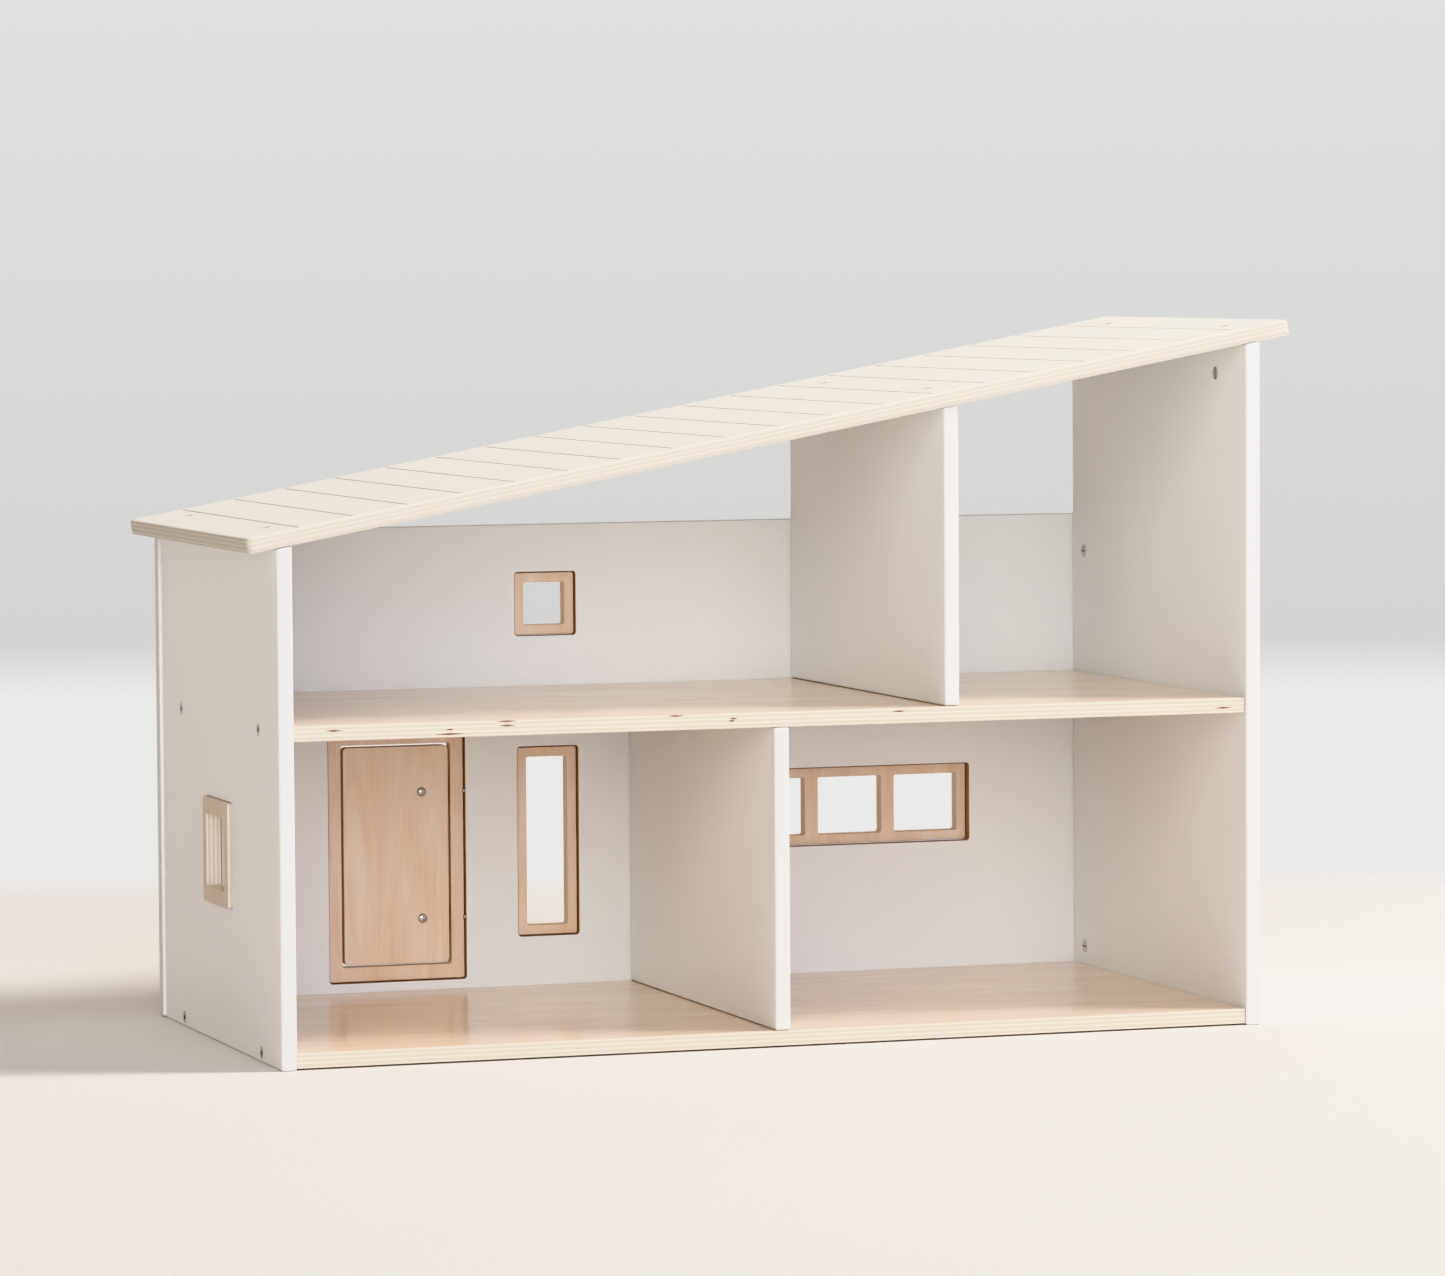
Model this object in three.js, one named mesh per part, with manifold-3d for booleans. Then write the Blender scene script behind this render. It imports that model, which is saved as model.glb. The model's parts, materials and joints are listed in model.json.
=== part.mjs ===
// Wooden dollhouse: two storeys, four rooms, open front, single-pitch roof.
// Units are millimetres. +X runs along the front from the low side to the high side,
// +Y runs from the open front to the back, +Z is up.
// The model is laid out in house coordinates, measured from the low side wall's outer,
// front, bottom corner, and moved at the end so that the origin is at the centre of the footprint.
import * as THREE from 'three';
import * as BufferGeometryUtils from 'three/addons/utils/BufferGeometryUtils.js';
import Module from 'manifold-3d';

const wasm = await Module();
wasm.setup();

// ---------------------------------------------------------------- driving dimensions

const SHEET = 12;                  // every panel, frame and the door is cut from this plywood
const GAP = 0.3;                   // clearance between pieces that touch

const WIDTH = 800;                 // over the side walls
const WALL_DEPTH = 370;            // side walls, front to back
const LOW_HEIGHT = 394;            // underside of the roof at the low wall's outer face
const HIGH_HEIGHT = 541.5;         // underside of the roof at the high wall's outer face
const SLOPE = Math.atan((HIGH_HEIGHT - LOW_HEIGHT) / WIDTH);

const FLOOR_Z = 1.2;               // underside of the bottom floor
const UPPER_FLOOR_Z = 248.2;       // underside of the upper floor
const FLOOR_SETBACK = 2;           // front edges of the floors, behind the wall fronts

const BACK_HEIGHT = 392.5;         // top of the back panel
const BACK_OVERHANG = 2.5;         // back panel beyond each side wall

const LOWER_DIVIDER_X = 400;       // centre of the lower room divider
const LOWER_DIVIDER_SETBACK = 1;
const UPPER_DIVIDER_X = 542;       // centre of the upper room divider
const UPPER_DIVIDER_SETBACK = 5;

const ROOF_START = -21.5;          // low end of the roof, along the slope from the low wall
const PLANKS = 20;                 // planks marked out by the grooves
const PLANK_WIDTH = 43.1;
const ROOF_LENGTH = PLANKS * PLANK_WIDTH;
const ROOF_DEPTH = WALL_DEPTH + SHEET;
const ROOF_CORNER = 4.5;           // rounding of the roof's corners, seen from above
const GROOVE_WIDTH = 1.4;
const GROOVE_DEPTH = 1.2;
const GROOVE_MARGIN = 7;           // plain edge left at the front and back of each groove
const GROOVE_END = 0.49;           // rounding of a groove's ends, as a share of its width
const ROOF_BOLT_SUNK = 1;          // roof bolts' heads below the top of the roof

const FRAME_PROUD = 3.5;           // frames stand out beyond the outer face of their wall
const WIDE_FRAME_PROUD = 7;        // the three-pane frame sits further out
const FRAME_FIT = 0.75;            // gap round a frame in its opening
const FRAME_CORNER = 2;            // rounding of the frames' outer and inner corners

const SQUARE_WINDOW = { x: 322.6, z: 327.2, width: 51, height: 51, stile: 8, rail: 8, panes: 1 };
const TALL_WINDOW = { x: 323.8, z: 131.6, width: 51, height: 155, stile: 8, rail: 8, panes: 1 };
const WIDE_WINDOW = {
  x: 589.7, z: 151.8, width: 207, height: 64, stile: 8, rail: 8, panes: 3, mullion: 11.5,
};
const DOOR_FRAME = { x: 195, z: 124.1, width: 114.6, height: 205.6, stile: 11, rail: 12, panes: 1 };
const SIDE_WINDOW = { y: 187, z: 150, width: 79, height: 82, stile: 11, rail: 12.5, panes: 1 };

const DOOR_GAP = 1.8;              // gap between the door and its frame, all round
const DOOR_CORNER = 4;             // rounding of the door's corners

const FASTENER_ROWS = [62, 308];   // distances of the fasteners from the front
const SEGMENTS = 10;               // sides of a turned piece
const CORNER_SEGMENTS = 2;         // steps round a quarter of a rounded corner
const CUT = 1;                     // how far a cutting solid reaches beyond the face it opens

const PANEL_SCREW = {
  headRadius: 4.8, headDepth: 3, neckRadius: 3.3, neckEnd: 11.5, shankRadius: 2.4, length: 46,
  point: 3, taper: 1, socketRadius: 2, socketDepth: 2.2,
};
const BOLT = { headRadius: 5, headDepth: 2.8, shankRadius: 3 };
const SOCKET_WIDTH = 0.68;         // a bolt's socket, as a share of its shank's radius
const SOCKET_DEPTH = 0.7;          // and as a share of its head's depth
const BARREL_NUT = { radius: 5, length: 10, slotWidth: 1.6, slotDepth: 1.5 };
const NUT_DEPTH = 25;              // barrel nut below the panel edge that its bolt enters
const BOLT_GRIP = 3.5;             // bolt tip beyond the barrel nut's centre
const BACK_BOLT_HEIGHTS = [28.2, 362];
const DOWEL = { radius: 3, length: 20, inFloor: 8 };

const HINGE_HEIGHTS = [71.5, 175.3];
const HINGE = {
  leafThickness: 1.2, knuckleRadius: 2.6, pinRadius: 1.2, height: 24, middle: 8, pinProud: 0.5,
  boltReach: 23.7, strapEnd: 6, shoulder: 4.6, screwReach: 12.3, frameLeaf: 17, leafCorner: 2.5,
  clearance: 3.2,
};
const DOOR_BOLT = { headRadius: 3.75, headDepth: 2.2, shankRadius: 2 };
const HINGE_SCREW = { headRadius: 3, headDepth: 1.7, shankRadius: 1.5, length: 16, holeDepth: 15 };
const BOSS = { radius: 3.6, depth: 3 };    // threaded boss on a hinge strap
const BOSS_MARGIN = 0.5;           // a door bolt's tip stays this far inside its boss

// ---------------------------------------------------------------- finishes

const finish = (color, roughness, metalness = 0) =>
  new THREE.MeshStandardMaterial({ color, roughness, metalness });

const whitePaint = () => finish(0xe4e0dc, 0.5);
const clearBirch = () => finish(0xdfc9aa, 0.35);
const paleBirch = () => finish(0xeee9dd, 0.55);
const warmPly = () => finish(0xcfa582, 0.5);
const steel = () => finish(0xb9b8b6, 0.35, 1);
const beech = () => finish(0xd9b98c, 0.6);

// ---------------------------------------------------------------- solids

function toSolid(geometry) {
  const bare = geometry.clone();
  bare.deleteAttribute('normal');
  bare.deleteAttribute('uv');
  const merged = BufferGeometryUtils.mergeVertices(bare, 1e-4);
  return new wasm.Manifold(new wasm.Mesh({
    numProp: 3,
    vertProperties: new Float32Array(merged.attributes.position.array),
    triVerts: new Uint32Array(merged.index.array),
  }));
}

function toGeometry(solid) {
  const mesh = solid.getMesh();
  const geometry = new THREE.BufferGeometry();
  geometry.setAttribute('position', new THREE.BufferAttribute(mesh.vertProperties, 3));
  geometry.setIndex(new THREE.BufferAttribute(mesh.triVerts, 1));
  geometry.computeVertexNormals();
  return geometry;
}

// Joins the first list of geometries and cuts the second list out of them.
function combine(added, removed = []) {
  let solid = toSolid(added[0]);
  for (const geometry of added.slice(1)) {
    solid = solid.add(toSolid(geometry));
  }
  for (const geometry of removed) {
    solid = solid.subtract(toSolid(geometry));
  }
  return toGeometry(solid);
}

function block(x0, x1, y0, y1, z0, z1) {
  const geometry = new THREE.BoxGeometry(x1 - x0, y1 - y0, z1 - z0);
  return geometry.translate((x0 + x1) / 2, (y0 + y1) / 2, (z0 + z1) / 2);
}

// A rectangle with rounded corners, centred on a point of the drawing plane.
function roundedRectangle(x, y, width, height, radius) {
  const shape = new THREE.Shape();
  const left = x - width / 2;
  const right = x + width / 2;
  const bottom = y - height / 2;
  const top = y + height / 2;
  shape.moveTo(left + radius, bottom);
  shape.lineTo(right - radius, bottom);
  shape.absarc(right - radius, bottom + radius, radius, -Math.PI / 2, 0);
  shape.lineTo(right, top - radius);
  shape.absarc(right - radius, top - radius, radius, 0, Math.PI / 2);
  shape.lineTo(left + radius, top);
  shape.absarc(left + radius, top - radius, radius, Math.PI / 2, Math.PI);
  shape.lineTo(left, bottom + radius);
  shape.absarc(left + radius, bottom + radius, radius, Math.PI, Math.PI * 1.5);
  return shape;
}

function extrude(shape, depth, curveSegments = CORNER_SEGMENTS) {
  return new THREE.ExtrudeGeometry(shape, { depth, bevelEnabled: false, curveSegments, steps: 1 });
}

// Stands a drawing made in X and Z upright, with its thickness running along +Y from y.
function upright(shape, y, thickness) {
  return extrude(shape, thickness).rotateX(Math.PI / 2).translate(0, y + thickness, 0);
}

// A turned piece along +Z. The profile is a list of [radius, height] and starts and ends on the axis.
function turned(profile) {
  return new THREE.LatheGeometry(profile.map(([r, z]) => new THREE.Vector2(r, z)), SEGMENTS)
    .rotateX(Math.PI / 2);
}

function rod(radius, z0, z1) {
  return turned([[0, z0], [radius, z0], [radius, z1], [0, z1]]);
}

// Turns a piece made along +Z so that it runs along another direction, and moves it there.
function aimed(geometry, direction, x, y, z) {
  const turn = new THREE.Quaternion().setFromUnitVectors(
    new THREE.Vector3(0, 0, 1), new THREE.Vector3(...direction));
  return geometry.applyQuaternion(turn).translate(x, y, z);
}

const house = new THREE.Group();
const roof = new THREE.Group();
const door = new THREE.Group();
house.add(roof, door);

// Adds a piece whose geometry was drawn in its parent's coordinates, and gives it its own origin.
function addPiece(parent, name, geometry, material, [x, y, z]) {
  const mesh = new THREE.Mesh(geometry.translate(-x, -y, -z), material);
  mesh.name = name;
  mesh.position.set(x, y, z);
  parent.add(mesh);
}

// ---------------------------------------------------------------- fasteners

// Clearance hole and counterbore for a headed fastener. Its head's outer face is at z = 0.
function headedHole({ headRadius, headDepth, neckRadius, shankRadius }, length) {
  const shank = (neckRadius ?? shankRadius) + GAP;
  return [
    rod(headRadius + GAP, -CUT, headDepth + GAP),
    rod(shank, headDepth, length + CUT),
  ];
}

// Countersunk panel screw with a plain socket, head at z = 0 and point at +Z.
function panelScrew() {
  const { headRadius, headDepth, neckRadius, neckEnd, shankRadius, length } = PANEL_SCREW;
  const { point, taper, socketRadius, socketDepth } = PANEL_SCREW;
  return turned([
    [0, socketDepth], [socketRadius, socketDepth], [socketRadius, 0], [headRadius, 0],
    [neckRadius, headDepth], [neckRadius, neckEnd], [shankRadius, neckEnd + taper],
    [shankRadius, length - point], [0, length],
  ]);
}

// Socket-head furniture bolt, head at z = 0 and tip at z = length.
function bolt({ headRadius, headDepth, shankRadius }, length) {
  const socketRadius = shankRadius * SOCKET_WIDTH;
  const socketDepth = headDepth * SOCKET_DEPTH;
  return turned([
    [0, socketDepth], [socketRadius, socketDepth], [socketRadius, 0], [headRadius, 0],
    [headRadius, headDepth], [shankRadius, headDepth], [shankRadius, length], [0, length],
  ]);
}

// Cross dowel along +Z from its slotted face at z = 0, threaded across for a bolt along the
// direction given as an angle round the dowel's own axis.
function barrelNut(boltAngle) {
  const { radius, length, slotWidth, slotDepth } = BARREL_NUT;
  const thread = rod(BOLT.shankRadius + GAP, -radius - CUT, radius + CUT)
    .rotateY(Math.PI / 2).rotateZ(boltAngle).translate(0, 0, SHEET / 2);
  const slot = block(-radius, radius, -slotWidth / 2, slotWidth / 2, -CUT, slotDepth).rotateZ(boltAngle);
  return combine([rod(radius, 0, length)], [thread, slot]);
}

function barrelNutHole() {
  return rod(BARREL_NUT.radius + GAP, -CUT, BARREL_NUT.length + GAP);
}

// ---------------------------------------------------------------- frames

function frameShape(x, z, { width, height, stile, rail, panes, mullion = 0 }) {
  const shape = roundedRectangle(x, z, width, height, FRAME_CORNER);
  const pane = (width - 2 * stile - (panes - 1) * mullion) / panes;
  for (let index = 0; index < panes; index += 1) {
    const centre = x - width / 2 + stile + pane / 2 + index * (pane + mullion);
    shape.holes.push(roundedRectangle(centre, z, pane, height - 2 * rail, FRAME_CORNER));
  }
  return shape;
}

// The hole that a frame stands in, running through a wall between y0 and y1.
function frameOpening({ x, z, width, height }, y0, y1) {
  const shape = roundedRectangle(x, z, width + 2 * FRAME_FIT, height + 2 * FRAME_FIT,
    FRAME_CORNER + FRAME_FIT);
  return upright(shape, y0, y1 - y0);
}

const BACK_Y = WALL_DEPTH + GAP;
const BACK_FACE = BACK_Y + SHEET;
const DOOR_FACE = BACK_FACE + FRAME_PROUD;
const DOOR_INNER_FACE = DOOR_FACE - SHEET;
const DOOR_WIDTH = DOOR_FRAME.width - 2 * DOOR_FRAME.stile - 2 * DOOR_GAP;
const DOOR_HEIGHT = DOOR_FRAME.height - 2 * DOOR_FRAME.rail - 2 * DOOR_GAP;
const HINGE_X = DOOR_FRAME.x + DOOR_WIDTH / 2 + DOOR_GAP / 2;
const HINGE_Y = DOOR_FACE + GAP + HINGE.knuckleRadius;

function hingeScrewHoles() {
  return HINGE_HEIGHTS.map((z) => aimed(
    rod(HINGE_SCREW.shankRadius + GAP, -CUT, HINGE_SCREW.holeDepth), [0, -1, 0],
    HINGE_X + HINGE.screwReach, DOOR_FACE, z));
}

// ---------------------------------------------------------------- side walls

const roofUnderside = (x) => LOW_HEIGHT + x * Math.tan(SLOPE);

// A vertical board between x0 and x1 whose top edge follows the slope of the roof.
function slopedBoard(x0, x1, y0, y1, z0) {
  const shape = new THREE.Shape();
  shape.moveTo(x0, z0);
  shape.lineTo(x1, z0);
  shape.lineTo(x1, roofUnderside(x1) - GAP);
  shape.lineTo(x0, roofUnderside(x0) - GAP);
  shape.closePath();
  return upright(shape, y0, y1 - y0);
}

// Holes that a wall or divider needs for its roof bolts and their barrel nuts.
// The nuts go in from the face at faceX, towards inward (+1 or -1 along X).
function roofBoltHoles(boardX, faceX, inward) {
  const top = roofUnderside(boardX);
  return FASTENER_ROWS.flatMap((y) => [
    rod(BOLT.shankRadius + GAP, top - NUT_DEPTH - BOLT_GRIP, top + 2 * CUT).translate(boardX, y, 0),
    aimed(barrelNutHole(), [inward, 0, 0], faceX, y, top - NUT_DEPTH),
  ]);
}

function backBoltHoles(boardX, faceX, inward) {
  return BACK_BOLT_HEIGHTS.flatMap((z) => [
    aimed(rod(BOLT.shankRadius + GAP, -CUT, NUT_DEPTH + BOLT_GRIP), [0, -1, 0], boardX, WALL_DEPTH, z),
    aimed(barrelNutHole(), [inward, 0, 0], faceX, WALL_DEPTH - NUT_DEPTH, z),
  ]);
}

function panelScrewHoles(outerX, inward) {
  return [FLOOR_Z, UPPER_FLOOR_Z].flatMap((z) => FASTENER_ROWS.flatMap((y) =>
    headedHole(PANEL_SCREW, SHEET).map((hole) => aimed(hole, [inward, 0, 0], outerX, y, z + SHEET / 2))));
}

function sideWindowOpening() {
  const opening = frameOpening({ ...SIDE_WINDOW, x: 0 }, -CUT, SHEET + CUT);
  return opening.rotateZ(-Math.PI / 2).translate(0, SIDE_WINDOW.y, 0);
}

function addLeftWall() {
  const geometry = combine([slopedBoard(0, SHEET, 0, WALL_DEPTH, 0)], [
    sideWindowOpening(),
    ...roofBoltHoles(SHEET / 2, SHEET, -1),
    ...backBoltHoles(SHEET / 2, SHEET, -1),
    ...panelScrewHoles(0, 1),
  ]);
  addPiece(house, 'left_wall', geometry, whitePaint(), [0, 0, 0]);
}

function addRightWall() {
  const inner = WIDTH - SHEET;
  const geometry = combine([slopedBoard(inner, WIDTH, 0, WALL_DEPTH, 0)], [
    ...roofBoltHoles(WIDTH - SHEET / 2, inner, 1),
    ...backBoltHoles(WIDTH - SHEET / 2, inner, 1),
    ...panelScrewHoles(WIDTH, -1),
  ]);
  addPiece(house, 'right_wall', geometry, whitePaint(), [inner, 0, 0]);
}

// ---------------------------------------------------------------- back panel, floors and dividers

function addBackPanel() {
  const windows = [SQUARE_WINDOW, TALL_WINDOW, WIDE_WINDOW, DOOR_FRAME];
  const boltHoles = [SHEET / 2, WIDTH - SHEET / 2].flatMap((x) => BACK_BOLT_HEIGHTS.flatMap((z) =>
    headedHole(BOLT, SHEET).map((hole) => aimed(hole, [0, -1, 0], x, BACK_FACE, z))));
  const geometry = combine(
    [block(-BACK_OVERHANG, WIDTH + BACK_OVERHANG, BACK_Y, BACK_FACE, FLOOR_Z, BACK_HEIGHT)],
    [
      ...windows.map((window) => frameOpening(window, BACK_Y - CUT, BACK_FACE + CUT)),
      ...boltHoles,
      ...hingeScrewHoles(),
    ]);
  addPiece(house, 'back_panel', geometry, whitePaint(), [0, BACK_Y, FLOOR_Z]);
}

// A floor between the side walls. Bolts come up through it into the divider that stands on it.
function addFloor(name, z, dividerX, cuts = []) {
  const boltHoles = FASTENER_ROWS.flatMap((y) =>
    headedHole(BOLT, SHEET).map((hole) => hole.translate(dividerX, y, z)));
  const screwHole = () => rod(PANEL_SCREW.shankRadius + GAP, -CUT, PANEL_SCREW.length - SHEET + GAP);
  const screwHoles = [[SHEET, 1], [WIDTH - SHEET, -1]].flatMap(([x, inward]) => FASTENER_ROWS.map(
    (y) => aimed(screwHole(), [inward, 0, 0], x, y, z + SHEET / 2)));
  const geometry = combine(
    [block(SHEET + GAP, WIDTH - SHEET - GAP, FLOOR_SETBACK, WALL_DEPTH, z, z + SHEET)],
    [...boltHoles, ...screwHoles, ...cuts]);
  addPiece(house, name, geometry, clearBirch(), [SHEET, FLOOR_SETBACK, z]);
}

function dowelHoles(z0, z1) {
  return FASTENER_ROWS.map((y) => rod(DOWEL.radius + GAP, z0, z1).translate(LOWER_DIVIDER_X, y, 0));
}

// Bolt and nut holes at the foot of a divider whose nuts go in from its high side.
function footHoles(x, floorTop) {
  return FASTENER_ROWS.flatMap((y) => [
    rod(BOLT.shankRadius + GAP, floorTop - CUT, floorTop + NUT_DEPTH + BOLT_GRIP).translate(x, y, 0),
    aimed(barrelNutHole(), [-1, 0, 0], x + SHEET / 2, y, floorTop + NUT_DEPTH),
  ]);
}

function addLowerDivider() {
  const floorTop = FLOOR_Z + SHEET;
  const top = UPPER_FLOOR_Z - GAP;
  const geometry = combine([
    block(LOWER_DIVIDER_X - SHEET / 2, LOWER_DIVIDER_X + SHEET / 2, LOWER_DIVIDER_SETBACK, WALL_DEPTH,
      floorTop + GAP, top),
  ], [
    ...footHoles(LOWER_DIVIDER_X, floorTop),
    ...dowelHoles(UPPER_FLOOR_Z + DOWEL.inFloor - DOWEL.length - GAP, top + CUT),
  ]);
  addPiece(house, 'lower_divider', geometry, whitePaint(),
    [LOWER_DIVIDER_X, LOWER_DIVIDER_SETBACK, floorTop]);
}

function addUpperDivider() {
  const floorTop = UPPER_FLOOR_Z + SHEET;
  const highFace = UPPER_DIVIDER_X + SHEET / 2;
  const board = slopedBoard(UPPER_DIVIDER_X - SHEET / 2, highFace, UPPER_DIVIDER_SETBACK, WALL_DEPTH,
    floorTop + GAP);
  const geometry = combine([board], [
    ...footHoles(UPPER_DIVIDER_X, floorTop),
    ...roofBoltHoles(UPPER_DIVIDER_X, highFace, -1),
  ]);
  addPiece(house, 'upper_divider', geometry, whitePaint(),
    [UPPER_DIVIDER_X, UPPER_DIVIDER_SETBACK, floorTop]);
}

function addFloors() {
  addFloor('floor_panel', FLOOR_Z, LOWER_DIVIDER_X);
  addFloor('upper_floor_panel', UPPER_FLOOR_Z, UPPER_DIVIDER_X,
    dowelHoles(UPPER_FLOOR_Z - CUT, UPPER_FLOOR_Z + DOWEL.inFloor + GAP));
}

// ---------------------------------------------------------------- roof

// The roof is drawn flat in its own group: +X up the slope, underside at z = 0.
const ROOF_BOLT_BOARDS = [
  { name: 'left_wall', x: SHEET / 2, faceX: SHEET, inward: -1 },
  { name: 'upper_divider', x: UPPER_DIVIDER_X, faceX: UPPER_DIVIDER_X + SHEET / 2, inward: -1 },
  { name: 'right_wall', x: WIDTH - SHEET / 2, faceX: WIDTH - SHEET, inward: 1 },
];

// Height of a roof bolt's head face above the roof's underside, measured straight up.
const ROOF_BOLT_HEAD = SHEET / Math.cos(SLOPE) - ROOF_BOLT_SUNK;

function groove(index) {
  const x = ROOF_START + index * PLANK_WIDTH;
  const length = ROOF_DEPTH - 2 * GROOVE_MARGIN;
  const outline = roundedRectangle(x, ROOF_DEPTH / 2, GROOVE_WIDTH, length, GROOVE_WIDTH * GROOVE_END);
  return extrude(outline, GROOVE_DEPTH + CUT, 1).translate(0, 0, SHEET - GROOVE_DEPTH);
}

// Upright holes through the sloping panel, one for each roof bolt.
function roofPanelHoles() {
  return ROOF_BOLT_BOARDS.flatMap(({ x }) => FASTENER_ROWS.flatMap((y) => [
    rod(BOLT.shankRadius + GAP, -BOLT.headDepth, ROOF_BOLT_HEAD),
    rod(BOLT.headRadius + GAP, ROOF_BOLT_HEAD - BOLT.headDepth - GAP, ROOF_BOLT_HEAD + BOLT.headDepth),
  ].map((hole) => hole.rotateY(SLOPE).translate(x / Math.cos(SLOPE), y, 0))));
}

function addRoof() {
  roof.position.set(0, 0, LOW_HEIGHT);
  roof.rotation.y = -SLOPE;
  const outline = roundedRectangle(ROOF_START + ROOF_LENGTH / 2, ROOF_DEPTH / 2, ROOF_LENGTH, ROOF_DEPTH,
    ROOF_CORNER);
  const grooves = Array.from({ length: PLANKS - 1 }, (_, index) => groove(index + 1));
  const geometry = combine([extrude(outline, SHEET)], [...grooves, ...roofPanelHoles()]);
  addPiece(roof, 'roof_panel', geometry, paleBirch(), [0, 0, 0]);
}

// ---------------------------------------------------------------- windows and door

function addFrames() {
  const backFrames = [
    ['square_window_frame', SQUARE_WINDOW, FRAME_PROUD, []],
    ['tall_window_frame', TALL_WINDOW, FRAME_PROUD, []],
    ['wide_window_frame', WIDE_WINDOW, WIDE_FRAME_PROUD, []],
    ['door_frame', DOOR_FRAME, FRAME_PROUD, hingeScrewHoles()],
  ];
  for (const [name, size, proud, cuts] of backFrames) {
    const y = BACK_Y + proud;
    const geometry = combine([upright(frameShape(size.x, size.z, size), y, SHEET)], cuts);
    addPiece(house, name, geometry, warmPly(), [size.x, y, size.z]);
  }
  const side = upright(frameShape(0, SIDE_WINDOW.z, SIDE_WINDOW), -FRAME_PROUD, SHEET)
    .rotateZ(-Math.PI / 2).translate(0, SIDE_WINDOW.y, 0);
  addPiece(house, 'side_window_frame', combine([side]), warmPly(), [0, SIDE_WINDOW.y, SIDE_WINDOW.z]);
}

function addDoorPanel() {
  const shape = roundedRectangle(DOOR_FRAME.x, DOOR_FRAME.z, DOOR_WIDTH, DOOR_HEIGHT, DOOR_CORNER);
  const boltHoles = HINGE_HEIGHTS.map((z) => aimed(rod(DOOR_BOLT.shankRadius + GAP, -1, SHEET + 1),
    [0, 1, 0], HINGE_X - HINGE.boltReach, DOOR_INNER_FACE, z));
  const geometry = combine([upright(shape, DOOR_INNER_FACE, SHEET)], boltHoles);
  addPiece(door, 'door_panel', geometry, warmPly(), [HINGE_X, HINGE_Y, DOOR_FRAME.z]);
}

// ---------------------------------------------------------------- hinges

const LEAF_Y = DOOR_FACE + GAP;
const LEAF_OUTER_Y = LEAF_Y + HINGE.leafThickness;

// A leaf's knuckles: short tubes round the hinge axis, between the heights given.
function knuckles(z, spans) {
  return spans.map(([from, to]) => rod(HINGE.knuckleRadius, z + from, z + to).translate(HINGE_X, HINGE_Y, 0));
}

// Strap leaf on the door, with the two outer knuckles and a threaded boss for the door bolt.
function doorLeaf(z) {
  const { leafThickness, height, middle, boltReach, strapEnd, shoulder, pinRadius, clearance } = HINGE;
  const half = height / 2;
  const boltX = HINGE_X - boltReach;
  const shape = new THREE.Shape();
  shape.moveTo(HINGE_X, z - half);
  shape.lineTo(HINGE_X, z + half);
  shape.lineTo(HINGE_X - shoulder, z + half);
  shape.lineTo(boltX, z + strapEnd);
  shape.absarc(boltX, z, strapEnd, Math.PI / 2, Math.PI * 1.5);
  shape.lineTo(HINGE_X - shoulder, z - half);
  shape.closePath();
  const notchHalf = middle / 2 + GAP;
  const notch = block(HINGE_X - clearance, HINGE_X + clearance, DOOR_FACE, HINGE_Y + clearance,
    z - notchHalf, z + notchHalf);
  const bore = rod(pinRadius + GAP, z - half - CUT, z + half + CUT).translate(HINGE_X, HINGE_Y, 0);
  const bossTop = leafThickness + BOSS.depth;
  const boss = aimed(rod(BOSS.radius, 0, bossTop), [0, 1, 0], boltX, LEAF_Y, z);
  const thread = aimed(rod(DOOR_BOLT.shankRadius + GAP, -CUT, bossTop + CUT), [0, 1, 0], boltX, LEAF_Y, z);
  return combine(
    [upright(shape, LEAF_Y, leafThickness), boss, ...knuckles(z, [[-half, half]])],
    [notch, bore, thread]);
}

// Short leaf on the frame, with the middle knuckle and the fixed pin.
function frameLeaf(z) {
  const { leafThickness, height, middle, frameLeaf: reach, leafCorner, screwReach, clearance } = HINGE;
  const half = height / 2;
  const plate = roundedRectangle(HINGE_X + reach / 2, z, reach, height, leafCorner);
  const notches = [[-half - CUT, -middle / 2], [middle / 2, half + CUT]].map(([from, to]) => block(
    HINGE_X - clearance, HINGE_X + clearance, DOOR_FACE, HINGE_Y + clearance, z + from, z + to));
  const screwHole = aimed(rod(HINGE_SCREW.shankRadius + GAP, -CUT, leafThickness + CUT), [0, 1, 0],
    HINGE_X + screwReach, LEAF_Y, z);
  const body = combine([upright(plate, LEAF_Y, leafThickness),
    ...knuckles(z, [[-middle / 2, middle / 2]])], [...notches, screwHole]);
  const pinEnd = half + HINGE.pinProud;
  const pin = rod(HINGE.pinRadius, z - pinEnd, z + pinEnd).translate(HINGE_X, HINGE_Y, 0);
  return combine([body, pin]);
}

function addHinges() {
  HINGE_HEIGHTS.forEach((z, index) => {
    const place = ['lower', 'upper'][index];
    const boltX = HINGE_X - HINGE.boltReach;
    const boltFace = DOOR_INNER_FACE - DOOR_BOLT.headDepth - GAP;
    const boltLength = LEAF_OUTER_Y + BOSS.depth - BOSS_MARGIN - boltFace;
    const screwX = HINGE_X + HINGE.screwReach;
    const screwFace = LEAF_OUTER_Y + GAP + HINGE_SCREW.headDepth;
    addPiece(house, `${place}_hinge_frame_leaf`, frameLeaf(z), steel(), [HINGE_X, HINGE_Y, z]);
    addPiece(house, `${place}_hinge_screw`,
      aimed(bolt(HINGE_SCREW, HINGE_SCREW.length + HINGE_SCREW.headDepth), [0, -1, 0], screwX, screwFace, z),
      steel(), [screwX, screwFace, z]);
    addPiece(door, `${place}_hinge_door_leaf`, doorLeaf(z), steel(), [HINGE_X, HINGE_Y, z]);
    addPiece(door, `${place}_door_bolt`,
      aimed(bolt(DOOR_BOLT, boltLength), [0, 1, 0], boltX, boltFace, z), steel(), [boltX, boltFace, z]);
  });
}

// ---------------------------------------------------------------- screws, bolts, nuts and dowels

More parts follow.
